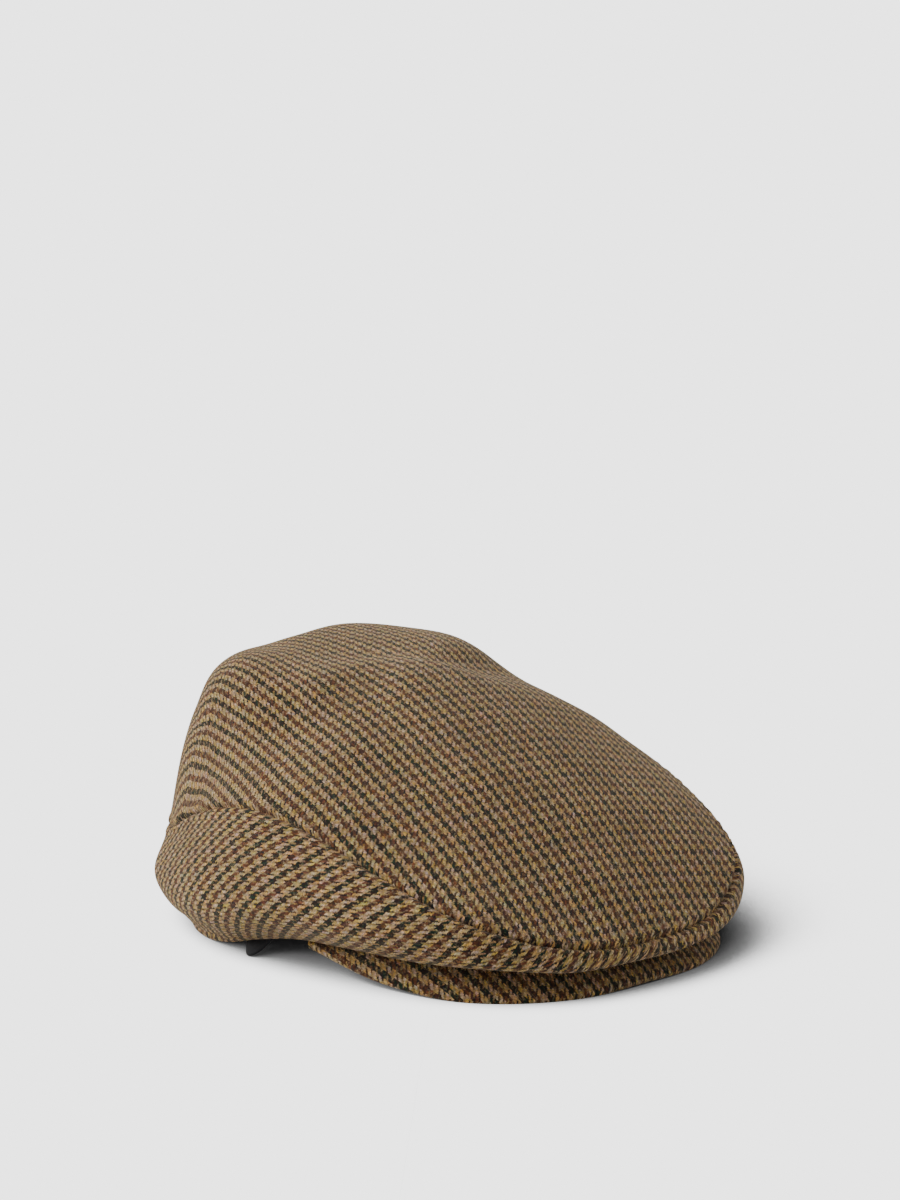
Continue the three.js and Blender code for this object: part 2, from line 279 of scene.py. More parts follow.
class CrownForm:
    """The crown's outer face, from its sections, with its dents and the give of soft cloth.

    Attributes:
        GIVE: Size of the soft cloth's unevenness, in millimetres.
        GIVE_WAVE: Usual distance from crest to crest in it.
        STEP: A small step or angle, over which the face's slopes are taken.
    """

    GIVE = 0.35
    GIVE_WAVE = 46
    STEP = 0.02

    def __init__(self, sections: tuple[Section, ...], dents: tuple[Dent, ...]) -> None:
        """Sets up the sections with a mirrored neighbour at each end.

        Args:
            sections: The cuts, from the front round to the back.
            dents: Hollows and swellings of the cloth.
        """
        first, last = sections[1], sections[-2]
        self.knots = np.array([-first.at, *(cut.at for cut in sections), 360 - last.at], dtype=float)
        self.ring = (first, *sections, last)
        self.dents = dents
        self.give = SurfaceNoise(self.GIVE_WAVE, 11)

    def line(self, name: str, angles: Grid) -> Grid:
        """Reads a named line of the sections.

        Args:
            name: The line, which is a field of Section.
            angles: Where to read it, in degrees from the front.

        Returns:
            (radius, height) at each angle, in millimetres, or the angle of the grain.
        """
        values = np.array([np.atleast_1d(getattr(cut, name)) for cut in self.ring], dtype=float)
        turned = np.mod(angles, 360)
        folded = np.where(turned > 180, 360 - turned, turned)
        slopes = parabola_slopes(self.knots, values)
        k = np.clip(np.searchsorted(self.knots, folded, side="right") - 1, 1, len(self.knots) - 3)
        width = (self.knots[k + 1] - self.knots[k])[:, None]
        share = (folded - self.knots[k])[:, None] / width
        return cubic(values[k], values[k + 1], slopes[k - 1], slopes[k], width, share)

    @staticmethod
    def profile(points: Grid, steps: Grid) -> Grid:
        """Smooth curves through each row's points, the last of which is on the axis.

        Args:
            points: (rows, points, 2) radii and heights.
            steps: Where to read the curves; 1.5 is half-way from point 1 to point 2.

        Returns:
            (rows, steps, 2) radii and heights.
        """
        mirror = points[:, -2:-1] * np.array([-1, 1])
        through = np.concatenate([points, mirror], axis=1)
        chords = np.linalg.norm(np.diff(through, axis=1), axis=-1)
        knots = np.concatenate([np.zeros((len(points), 1)), np.cumsum(np.sqrt(chords), axis=1)], axis=1)
        widths = np.diff(knots, axis=1)[..., None]
        start = (through[:, 1:2] - through[:, 0:1]) / widths[:, 0:1]
        slopes = np.concatenate([start, parabola_slopes(knots, through)], axis=1)
        k = np.minimum(np.floor(steps).astype(int), points.shape[1] - 2)
        share = (steps - k)[None, :, None]
        return cubic(through[:, k], through[:, k + 1], slopes[:, k], slopes[:, k + 1], widths[:, k], share)

    @staticmethod
    def place(cut: Grid, angles: Grid) -> Grid:
        """Stands cuts up in space.

        Args:
            cut: (rows, columns, 2) radii and heights.
            angles: Each row's angle from the front.

        Returns:
            (rows, columns, 3) points, in millimetres from the crown's axis and the floor.
        """
        turn = np.radians(angles)[:, None]
        radius, height = cut[..., 0], cut[..., 1]
        return np.stack([-radius * np.sin(turn), -radius * np.cos(turn), height], axis=-1)

    def cuts(self, angles: Grid, steps: Grid) -> Grid:
        """Cuts of the outer face before any dent.

        Args:
            angles: Where it is cut, in degrees from the front.
            steps: Where to read each cut; 1.5 is half-way from CROWN_LINES[1] to CROWN_LINES[2].

        Returns:
            (angles, steps, 2) radii and heights.
        """
        points = np.stack([self.line(name, angles) for name in CROWN_LINES], axis=1)
        apex = np.broadcast_to([0.0, APEX_HEIGHT], (len(angles), 1, 2))
        return self.profile(np.concatenate([points, apex], axis=1), steps)

    def smooth(self, angles: Grid, steps: Grid) -> Grid:
        """The outer face before any dent, as (angles, steps, 3) points."""
        return self.place(self.cuts(angles, steps), angles)

    def outward(self, angles: Grid, steps: Grid) -> Grid:
        """Unit normals of the smooth outer face.

        Args:
            angles: Rows of the grid, round the cap.
            steps: Columns of the grid.

        Returns:
            (angles, steps, 3) directions.
        """
        small = self.STEP
        low, high = np.maximum(steps - small, 0), np.minimum(steps + small, APEX - 1e-3)
        low = np.minimum(low, high - small)
        rise = self.smooth(angles, high) - self.smooth(angles, low)
        inner = np.minimum(steps, APEX - small)
        around = self.smooth(angles + small, inner) - self.smooth(angles - small, inner)
        normal = np.cross(rise, around)
        return normal / np.linalg.norm(normal, axis=-1, keepdims=True)

    def cloth(self, angles: Grid, steps: Grid) -> Grid:
        """The outer face with its dents and the small unevenness of soft cloth.

        Args:
            angles: Rows of the grid, round the cap.
            steps: Columns of the grid.

        Returns:
            (angles, steps, 3) points.
        """
        points = self.smooth(angles, steps)
        inward = sum(dent.press(points) for dent in self.dents) + self.GIVE * self.give.at(points)
        points = points - self.outward(angles, steps) * np.asarray(inward)[..., None]
        points[..., 2] = np.maximum(points[..., 2], 0)
        return points


# --------------------------------------
# Meshes
# --------------------------------------


# In metres: points that are closer are one point, and an edge that is shorter is no edge
SAME_PLACE = 2e-6
NO_LENGTH = 1e-7


def surface_normals(grid: Grid, wrap: bool) -> Grid:
    """Unit normals of a grid whose rows run round the cap and whose columns run up it.

    Args:
        grid: (rows, columns, 3) points.
        wrap: Whether the last row is followed by the first.

    Returns:
        One outward normal for each point.
    """
    if wrap:
        around = np.roll(grid, -1, axis=0) - np.roll(grid, 1, axis=0)
    else:
        around = np.gradient(grid, axis=0)
    normal = np.cross(np.gradient(grid, axis=1), around)
    size = np.linalg.norm(normal, axis=-1, keepdims=True)
    return normal / np.maximum(size, 1e-12)


def row_distance(grid: Grid, column: int) -> Grid:
    """Distance of each point from a column, measured along its row.

    Args:
        grid: (rows, columns, 3) points.
        column: The column to measure from.

    Returns:
        (rows, columns) distances, negative before the column.
    """
    steps = np.linalg.norm(np.diff(grid, axis=1), axis=-1)
    run = np.concatenate([np.zeros((len(grid), 1)), np.cumsum(steps, axis=1)], axis=1)
    return run - run[:, column : column + 1]


def ring_length(line: Grid, wrap: bool) -> tuple[Grid, float]:
    """Distance along a line of points, and its whole length.

    Args:
        line: (points, 3).
        wrap: Whether the line closes on itself.

    Returns:
        The distance of each point from the first, and the total.
    """
    ends = np.concatenate([line, line[:1]]) if wrap else line
    steps = np.linalg.norm(np.diff(ends, axis=0), axis=-1)
    run = np.concatenate([[0.0], np.cumsum(steps)])
    return run[: len(line)], float(run[-1])


class MeshBuilder:
    """Collects grids of points with cloth coordinates and turns them into one object."""

    def __init__(self) -> None:
        """Starts with no points."""
        self.points: list[Grid] = []
        self.coords: list[Grid] = []
        self.quads: list[Grid] = []
        self.count = 0

    def add(self, grid: Grid, coords: Grid, wrap: bool = False, flip: bool = False) -> Grid:
        """Adds a grid of quads.

        Args:
            grid: (rows, columns, 3) points in millimetres.
            coords: (rows, columns, 2) cloth coordinates in millimetres.
            wrap: Whether the last row joins the first.
            flip: Whether the faces look the other way.

        Returns:
            The index of each grid point.
        """
        rows, columns = grid.shape[:2]
        index = self.count + np.arange(rows * columns).reshape(rows, columns)
        self.points.append(grid.reshape(-1, 3))
        self.coords.append(coords.reshape(-1, 2))
        self.count += rows * columns
        self.face(index, wrap, flip)
        return index

    def face(self, index: Grid, wrap: bool = False, flip: bool = False) -> None:
        """Adds quads over points that are already there.

        Args:
            index: (rows, columns) indices of the points.
            wrap: Whether the last row joins the first.
            flip: Whether the faces look the other way.
        """
        following = np.roll(index, -1, axis=0) if wrap else index[1:]
        here = index if wrap else index[:-1]
        quads = np.stack([here[:, :-1], here[:, 1:], following[:, 1:], following[:, :-1]], axis=-1)
        quads = quads.reshape(-1, 4)
        self.quads.append(quads[:, ::-1] if flip else quads)

    def build(self, name: str) -> bpy.types.Object:
        """Makes the object, with its points in metres and a UV map named cloth.

        Args:
            name: The object's name.

        Returns:
            The new object, linked into the scene.
        """
        points = np.concatenate(self.points) * MM
        coords = np.concatenate(self.coords) * MM
        quads = np.concatenate(self.quads)
        mesh = bpy.data.meshes.new(name)
        mesh.from_pydata(points.tolist(), [], quads.tolist())
        layer = mesh.uv_layers.new(name="cloth")
        loops = np.zeros(len(mesh.loops), dtype=np.int32)
        mesh.loops.foreach_get("vertex_index", loops)
        layer.data.foreach_set("uv", coords[loops].astype(np.float32).ravel())
        thing = put_in_scene(name, mesh)
        weld(thing)
        mesh.polygons.foreach_set("use_smooth", [True] * len(mesh.polygons))
        mesh.update()
        return thing


def put_in_scene(name: str, data: bpy.types.ID) -> bpy.types.Object:
    """Makes an object of a mesh, lamp or camera and links it into the scene.

    Args:
        name: The object's name.
        data: What it shows.

    Returns:
        The new object.
    """
    made = bpy.data.objects.new(name, data)
    bpy.context.scene.collection.objects.link(made)
    return made


def weld(thing: bpy.types.Object) -> None:
    """Joins points that lie on each other, and drops the faces that vanish with them.

    Args:
        thing: The object, whose mesh is changed.
    """
    shape = bmesh.new()
    shape.from_mesh(thing.data)
    bmesh.ops.remove_doubles(shape, verts=shape.verts, dist=SAME_PLACE)
    bmesh.ops.dissolve_degenerate(shape, edges=shape.edges, dist=NO_LENGTH)
    shape.to_mesh(thing.data)
    shape.free()


def close_wall(mesh: MeshBuilder, outer: Grid, inner: Grid, wrap: bool) -> None:
    """Adds the rims between an outer and an inner grid of indices, with as many rows."""
    mesh.face(np.stack([inner[:, 0], outer[:, 0]], axis=1), wrap)
    mesh.face(np.stack([inner[:, -1], outer[:, -1]], axis=1), wrap, flip=True)


# --------------------------------------
# Shader nodes
# --------------------------------------


class NodeSheet:
    """Writes shader nodes into a tree with short calls."""

    def __init__(self, tree: bpy.types.NodeTree) -> None:
        """Starts writing into a tree."""
        self.tree = tree

    def node(self, kind: str, **settings: object) -> bpy.types.Node:
        """Adds a node.

        Args:
            kind: Its type.
            settings: Its properties.

        Returns:
            The node.
        """
        node = self.tree.nodes.new(kind)
        for name, value in settings.items():
            setattr(node, name, value)
        return node

    def feed(self, socket: bpy.types.NodeSocket, value: Value) -> None:
        """Links a socket to another one, or sets it to a plain value.

        Args:
            socket: The input.
            value: Another node's output, or a number or colour.
        """
        if isinstance(value, bpy.types.NodeSocket):
            self.tree.links.new(value, socket)
        elif isinstance(value, tuple) and len(value) == 3 and socket.type == "RGBA":
            socket.default_value = (*value, 1.0)
        else:
            socket.default_value = value

    def math(self, operation: str, *values: Value) -> Out:
        """A Math node's result.

        Args:
            operation: What it does.
            values: What it does it to.

        Returns:
            Its output.
        """
        node = self.node("ShaderNodeMath", operation=operation)
        for socket, value in zip(node.inputs, values):
            self.feed(socket, value)
        return node.outputs[0]

    def plus(self, one: Value, other: Value) -> Out:
        """Sum of two values."""
        return self.math("ADD", one, other)

    def minus(self, one: Value, other: Value) -> Out:
        """Difference of two values."""
        return self.math("SUBTRACT", one, other)

    def times(self, one: Value, other: Value) -> Out:
        """Product of two values."""
        return self.math("MULTIPLY", one, other)

    def scaled(self, value: Value, gain: Value, base: Value) -> Out:
        """A value times a gain, over a base."""
        return self.math("MULTIPLY_ADD", value, gain, base)

    def parts(self, vector: Out) -> bpy.types.NodeOutputs:
        """Takes a vector apart.

        Args:
            vector: The vector.

        Returns:
            Its three values.
        """
        apart = self.node("ShaderNodeSeparateXYZ")
        self.feed(apart.inputs[0], vector)
        return apart.outputs

    def mix(self, share: Value, low: Value, high: Value, blend: str = "MIX") -> Out:
        """Two colours mixed.

        Args:
            share: How much of the second.
            low: The first colour.
            high: The second colour.
            blend: How they are mixed.

        Returns:
            The mixed colour.
        """
        node = self.node("ShaderNodeMix", data_type="RGBA", blend_type=blend)
        self.feed(node.inputs[0], share)
        self.feed(node.inputs[6], low)
        self.feed(node.inputs[7], high)
        return node.outputs[2]

    def toned(self, colour: Value, tone: Out) -> Out:
        """A colour times a brightness."""
        return self.mix(1.0, colour, self.vector(tone, tone, tone), "MULTIPLY")

    def noise(
        self, vector: Out, scale: float = 1.0, detail: float = 2.0, rough: float = 0.5, output: str = "Fac"
    ) -> Out:
        """A Noise texture.

        Args:
            vector: Where it is read.
            scale: How closely its blots lie.
            detail: Octaves of finer noise.
            rough: Strength of the finer noise.
            output: "Fac" for a value or "Color" for a colour.

        Returns:
            The output.
        """
        node = self.node("ShaderNodeTexNoise", noise_dimensions="3D")
        self.feed(node.inputs["Vector"], vector)
        self.feed(node.inputs["Scale"], scale)
        self.feed(node.inputs["Detail"], detail)
        self.feed(node.inputs["Roughness"], rough)
        return node.outputs[output]

    def vector(self, x: Value, y: Value, z: Value) -> Out:
        """Makes a vector.

        Args:
            x: Its first value.
            y: Its second value.
            z: Its third value.

        Returns:
            The vector.
        """
        node = self.node("ShaderNodeCombineXYZ")
        for socket, value in zip(node.inputs, (x, y, z)):
            self.feed(socket, value)
        return node.outputs[0]

    def ramp(self, value: Out, low: float, high: float) -> Out:
        """Spreads a value smoothly.

        Args:
            value: The value.
            low: What becomes 0.
            high: What becomes 1.

        Returns:
            The spread value.
        """
        node = self.node("ShaderNodeMapRange", interpolation_type="SMOOTHSTEP")
        for socket, given in zip(node.inputs, (value, low, high)):
            self.feed(socket, given)
        return node.outputs[0]

    def relief(self, shader: bpy.types.Node, height: Out, depth: float, strength: float) -> None:
        """Bumps a shader's surface.

        Args:
            shader: The shader.
            height: The relief, from 0 to 1.
            depth: Its depth in millimetres.
            strength: How much of it shows.
        """
        bump = self.node("ShaderNodeBump")
        self.feed(bump.inputs["Strength"], strength)
        self.feed(bump.inputs["Distance"], depth * MM)
        self.feed(bump.inputs["Height"], height)
        self.feed(shader.inputs["Normal"], bump.outputs[0])


@dataclass(frozen=True)
class Socket:
    """One named input or output of a node group.

    Attributes:
        name: Its name.
        kind: Its socket type.
        value: What it is when nothing is linked to it.
    """

    name: str
    kind: str
    value: Colour | float | None = None


def open_group(
    name: str, takes: tuple[Socket, ...], gives: tuple[Socket, ...]
) -> tuple[NodeSheet, bpy.types.NodeOutputs, bpy.types.NodeInputs]:
    """Makes an empty node group with named sockets.

    Args:
        name: The group's name.
        takes: Its inputs.
        gives: Its outputs.

    Returns:
        A sheet to write into, what the group is given and what it puts out.
    """
    tree = bpy.data.node_groups.new(name, "ShaderNodeTree")
    for way, sockets in (("INPUT", takes), ("OUTPUT", gives)):
        for socket in sockets:
            made = tree.interface.new_socket(socket.name, in_out=way, socket_type=socket.kind)
            if socket.value is not None:
                value = socket.value
                made.default_value = (*value, 1.0) if isinstance(value, tuple) else value
    sheet = NodeSheet(tree)
    return sheet, sheet.node("NodeGroupInput").outputs, sheet.node("NodeGroupOutput").inputs


def open_material(name: str) -> tuple[bpy.types.Material, NodeSheet, bpy.types.Node]:
    """Makes a material.

    Args:
        name: Its name.

    Returns:
        The material, a sheet to write its nodes with and its Principled shader.
    """
    made = bpy.data.materials.new(name)
    made.use_nodes = True
    return made, NodeSheet(made.node_tree), made.node_tree.nodes["Principled BSDF"]


# --------------------------------------
# Finishes
# --------------------------------------


@dataclass(frozen=True)
class YarnDye:
    """The dye of a stripe's yarns, in linear RGB.

    Attributes:
        name: Its name.
        main: The main colour.
        fleck: The second colour, flecked through it.
    """

    name: str
    main: Colour
    fleck: Colour


@dataclass(frozen=True)
class Thread:
    """A place on one set of yarns.

    Attributes:
        yarn: The yarn's number.
        run: Place along it, in yarn widths.
        seed: Keeps this set of yarns apart from the other.
    """

    yarn: Out
    run: Out
    seed: float


@dataclass(frozen=True)
class YarnNoise:
    """A random change from yarn to yarn and along each yarn.

    Attributes:
        apart: How fast it changes from one yarn to the next.
        along: How fast it changes along a yarn, for each yarn's width.
        detail: Octaves of finer noise.
        rough: Strength of the finer noise.
        spread: Values of the noise that become 0 and 1 in the mask.
        seed: Keeps it apart from the other changes.
    """

    apart: float
    along: float
    detail: float = 2.0
    rough: float = 0.5
    spread: Pair = (0.0, 1.0)
    seed: float = 0.0

    def place(self, sheet: NodeSheet, thread: Thread) -> Out:
        """Where the noise is read for a place on a yarn."""
        apart, along = sheet.times(thread.yarn, self.apart), sheet.times(thread.run, self.along)
        return sheet.vector(apart, along, thread.seed + self.seed)

    def mask(self, sheet: NodeSheet, thread: Thread) -> Out:
        """The change at a place on a yarn, from 0 to 1."""
        place = self.place(sheet, thread)
        return sheet.ramp(sheet.noise(place, 1.0, self.detail, self.rough), *self.spread)


@dataclass(frozen=True)
class LooseHairs:
    """Light hairs that lie loose over the yarns here and there.

    Attributes:
        colour: Their colour.
        share: How much of the yarns they hide.
        scale: How closely they lie.
        detail: Octaves of their smaller bends.
        width: Half of a hair's width, in values of the noise.
        patches: Scale of the patches in which they lie, against their own.
        fade: Values of the patches' noise between which the hairs come in.
        seed: Keeps them apart from the yarns' changes.
    """

    colour: Colour = (0.600, 0.470, 0.280)
    share: float = 0.26
    scale: float = 0.6
    detail: float = 1.5
    width: float = 0.065
    patches: float = 0.7
    fade: Pair = (0.45, 0.62)
    seed: float = 31.0

    def mask(self, sheet: NodeSheet, across: Out, along: Out) -> Out:
        """Where the hairs lie.

        Args:
            sheet: Where the nodes go.
            across: Place across the warp, in yarns.
            along: Place along the warp, in yarns.

        Returns:
            A mask from 0 to 1.
        """
        place = sheet.vector(sheet.times(across, self.scale), sheet.times(along, self.scale), self.seed)
        middle = sheet.math("ABSOLUTE", sheet.minus(sheet.noise(place, 1.0, self.detail), 0.5))
        hair = sheet.ramp(middle, self.width, 0.0)
        return sheet.times(hair, sheet.ramp(sheet.noise(place, self.patches, 1.0), *self.fade))


@dataclass(frozen=True)
class MattedFibres:
    """The fine matted fibres of the yarns.

    Attributes:
        closeness: How much closer they lie across themselves than along.
        fade: Sums of the two ways' noise that become 0 and 1.
        seed: Keeps the two ways apart.
    """

    closeness: float = 5.0
    fade: Pair = (0.70, 1.30)
    seed: float = 7.0

    def mask(self, sheet: NodeSheet, across: Out, along: Out) -> Out:
        """How far the fibres stand out.

        Args:
            sheet: Where the nodes go.
            across: Place across the warp, in yarns.
            along: Place along the warp, in yarns.

        Returns:
            A mask from 0 to 1.
        """
        one = sheet.noise(sheet.vector(sheet.times(across, self.closeness), along, 0.0))
        other = sheet.noise(sheet.vector(across, sheet.times(along, self.closeness), self.seed))
        return sheet.ramp(sheet.plus(one, other), *self.fade)


@dataclass(frozen=True)
class GunClubCheck:
    """A 2/2 twill in which dark and light stripes of four yarns cross both ways.

    Each gain and base turn a mask into a brightness.

    Attributes:
        warp_pitch: Width of a warp yarn, in millimetres.
        weft_pitch: Width of a weft yarn, in millimetres.
        stripe: Yarns in each stripe.
        cover: How much the warp hides the weft.
        wander: How far the yarns stray from their straight lines, in yarn widths.
        fuzz: How rough the yarns' edges are.
        wander_scale: How closely the bends of straying yarns lie.
        fuzz_scale: How closely the rough spots lie.
        edge: Half of the height over which warp gives way to weft.
        roundness: How much a yarn's round back adds to its height.
        heights: Heights of the weave that become 0 and 1.
        nap: How much the fibres add to that.
        painted_gap_shade: Gain and base of the painted shade in the weave, darker where it lies low between
            the yarns.
        painted_fibre_light: Gain and base of the painted highlight and shade on the fibres, lighter where
            they stand out.
        fibres: The fibres.
        hairs: The loose hairs.
        flecks: Where a yarn shows its second colour.
        bright: Where a yarn is brighter.
        bright_shade: Gain and base of that brightness.
        drift: Where the hue drifts, in a yarn spun from wools of many colours.
        swings: How far red, green and blue drift.
        warp: Dyes of the warp's stripes, in order.
        weft: Dyes of the weft's stripes, in order.
        weft_seed: Keeps the weft's changes apart from the warp's.
    """

    warp_pitch: float = 0.60
    weft_pitch: float = 0.71
    stripe: int = 4
    cover: float = 0.9
    wander: float = 1.5
    fuzz: float = 1.3
    wander_scale: float = 0.16
    fuzz_scale: float = 0.9
    edge: float = 0.3
    roundness: float = 0.6
    heights: Pair = (-0.6, 2.0)
    nap: float = 0.25
    painted_gap_shade: Pair = (0.86, 0.38)
    painted_fibre_light: Pair = (0.7, 0.65)
    fibres: MattedFibres = MattedFibres()
    hairs: LooseHairs = LooseHairs()
    flecks: YarnNoise = YarnNoise(0.37, 0.26, detail=1.0, rough=0.6, spread=(0.42, 0.58))
    bright: YarnNoise = YarnNoise(3.71, 0.45, rough=0.7, spread=(0.35, 0.76), seed=9.0)
    bright_shade: Pair = (1.06, 0.63)
    drift: YarnNoise = YarnNoise(0.20, 0.15, seed=23.0)
    swings: Colour = (0.38, 0.30, 0.80)
    warp: tuple[YarnDye, ...] = (
        YarnDye("Green", (0.005, 0.020, 0.011), (0.020, 0.009, 0.007)),
        YarnDye("Ochre", (0.465, 0.288, 0.078), (0.440, 0.312, 0.195)),
        YarnDye("Rust", (0.128, 0.046, 0.017), (0.055, 0.019, 0.015)),
        YarnDye("Tan", (0.415, 0.290, 0.185), (0.485, 0.295, 0.100)),
    )
    weft: tuple[YarnDye, ...] = (
        YarnDye("Weft Brown", (0.080, 0.034, 0.011), (0.034, 0.015, 0.010)),
        YarnDye("Weft Tan", (0.305, 0.186, 0.080), (0.330, 0.226, 0.118)),
        YarnDye("Weft Navy", (0.007, 0.011, 0.017), (0.032, 0.013, 0.008)),
        YarnDye("Weft Ochre", (0.325, 0.198, 0.072), (0.320, 0.206, 0.105)),
    )
    weft_seed: float = 50.0

    def takes(self) -> tuple[Socket, ...]:
        """The group's inputs, of which two colours for each dye come last."""
        colours = (
            Socket(dye.name + part, "NodeSocketColor", colour)
            for dye in self.warp + self.weft
            for part, colour in (("", dye.main), (" Fleck", dye.fleck))
        )
        return (
            Socket("Cloth", "NodeSocketVector"),
            Socket("Warp Yarn", "NodeSocketFloat", self.warp_pitch * MM),
            Socket("Weft Yarn", "NodeSocketFloat", self.weft_pitch * MM),
            Socket("Cover", "NodeSocketFloat", self.cover),
            Socket("Wander", "NodeSocketFloat", self.wander),
            Socket("Fuzz", "NodeSocketFloat", self.fuzz),
            Socket("Hairs", "NodeSocketColor", self.hairs.colour),
            *colours,
        )

    def build(self) -> bpy.types.NodeTree:
        """Writes the weave as a node group that puts out a colour, with painted shade between the yarns and
        painted highlights on the fibres, and a height.
        """
        gives = (Socket("Colour", "NodeSocketColor"), Socket("Height", "NodeSocketFloat"))
        sheet, get, out = open_group("gun_club_check", self.takes(), gives)
        place = sheet.parts(get["Cloth"])
        across = sheet.math("DIVIDE", place[0], get["Warp Yarn"])
        along = sheet.math("DIVIDE", place[1], get["Weft Yarn"])
        across, along = self.stray(sheet, get, across, along)
        end, end_back = self.yarn(sheet, across)
        pick, pick_back = self.yarn(sheet, along)
        warp_rise = self.rise(sheet, sheet.minus(along, end), end_back)
        weft_rise = self.rise(sheet, sheet.plus(sheet.minus(across, pick), 1.0), pick_back)
        fibre = self.fibres.mask(sheet, across, along)
        lead = sheet.plus(sheet.minus(warp_rise, weft_rise), get["Cover"])
        rough = sheet.times(sheet.minus(fibre, 0.5), get["Fuzz"])
        over = sheet.ramp(sheet.plus(lead, rough), -self.edge, self.edge)
        warp = self.dye(sheet, get, Thread(end, along, 0.0), self.warp)
        weft = self.dye(sheet, get, Thread(pick, across, self.weft_seed), self.weft)
        colour = sheet.mix(over, weft, warp)
        loose = sheet.times(self.hairs.mask(sheet, across, along), self.hairs.share)
        colour = sheet.mix(loose, colour, get["Hairs"])
        top = sheet.math("MAXIMUM", sheet.plus(warp_rise, get["Cover"]), weft_rise)
        top = sheet.ramp(top, *self.heights)
        # Painted shade and highlight: the colour is darkened in the low gaps between yarns and lightened
        # where the fibres stand out
        tone = sheet.times(sheet.scaled(top, *self.painted_gap_shade), sheet.scaled(fibre, *self.painted_fibre_light))
        sheet.feed(out["Colour"], sheet.toned(colour, tone))
        sheet.feed(out["Height"], sheet.plus(top, sheet.times(fibre, self.nap)))
        return sheet.tree

    def stray(
        self, sheet: NodeSheet, get: bpy.types.NodeOutputs, across: Out, along: Out
    ) -> tuple[Out, Out]:
        """Lets the yarns stray from their straight lines, and roughens their edges.

        Args:
            sheet: Where the nodes go.
            get: What the group is given.
            across: Place across the warp, in yarns.
            along: Place along the warp, in yarns.

        Returns:
            The strayed places.
        """
        strayed = []
        for value, seed in ((across, 3.0), (along, 9.0)):
            place = sheet.vector(across, along, seed)
            slow = sheet.minus(sheet.noise(place, self.wander_scale, 1.0), 0.5)
            quick = sheet.minus(sheet.noise(place, self.fuzz_scale), 0.5)
            strayed.append(sheet.scaled(quick, get["Fuzz"], sheet.scaled(slow, get["Wander"], value)))
        return strayed[0], strayed[1]

    @staticmethod
    def yarn(sheet: NodeSheet, place: Out) -> tuple[Out, Out]:
        """Finds the yarn at a place.

        Args:
            sheet: Where the nodes go.
            place: The place, in yarns.

        Returns:
            The yarn's number, and the height of its round back from 0 to 1.
        """
        number = sheet.math("FLOOR", place)
        off_centre = sheet.scaled(sheet.minus(place, number), 2.0, -1.0)
        return number, sheet.minus(1.0, sheet.times(off_centre, off_centre))

    def rise(self, sheet: NodeSheet, turn: Out, back: Out) -> Out:
        """Height of a yarn that goes over two and under two, with the roundness of its back."""
        wave = sheet.math("COSINE", sheet.times(turn, math.pi / 2))
        return sheet.scaled(back, self.roundness, wave)

    def dye(
        self, sheet: NodeSheet, get: bpy.types.NodeOutputs, thread: Thread, dyes: tuple[YarnDye, ...]
    ) -> Out:
        """Colour of one set of yarns.

        Args:
            sheet: Where the nodes go.
            get: What the group is given.
            thread: The place on the yarns.
            dyes: The dyes of their stripes, in order.

        Returns:
            The colour with its flecks.
        """
        fleck = self.flecks.mask(sheet, thread)
        stripe = sheet.math("FLOOR", sheet.math("DIVIDE", thread.yarn, float(self.stripe)))
        order = sheet.math("FLOORED_MODULO", stripe, float(len(dyes)))
        flecked = [sheet.mix(fleck, get[dye.name], get[dye.name + " Fleck"]) for dye in dyes]
        colour = flecked[0]
        for place, following in enumerate(flecked[1:], 1):
            colour = sheet.mix(sheet.math("GREATER_THAN", order, place - 0.5), colour, following)
        bright = sheet.scaled(self.bright.mask(sheet, thread), *self.bright_shade)
        return sheet.mix(1.0, sheet.toned(colour, bright), self.heather(sheet, thread), "MULTIPLY")

    def heather(self, sheet: NodeSheet, thread: Thread) -> Out:
        """Drift of the hue along a yarn.

        Args:
            sheet: Where the nodes go.
            thread: The place on the yarns.

        Returns:
            A tint around white.
        """
        hue = sheet.node("ShaderNodeSeparateColor")
        sheet.feed(hue.inputs[0], sheet.noise(self.drift.place(sheet, thread), output="Color"))
        parts = zip(hue.outputs, self.swings)
        return sheet.vector(*(sheet.scaled(part, 2 * swing, 1 - swing) for part, swing in parts))


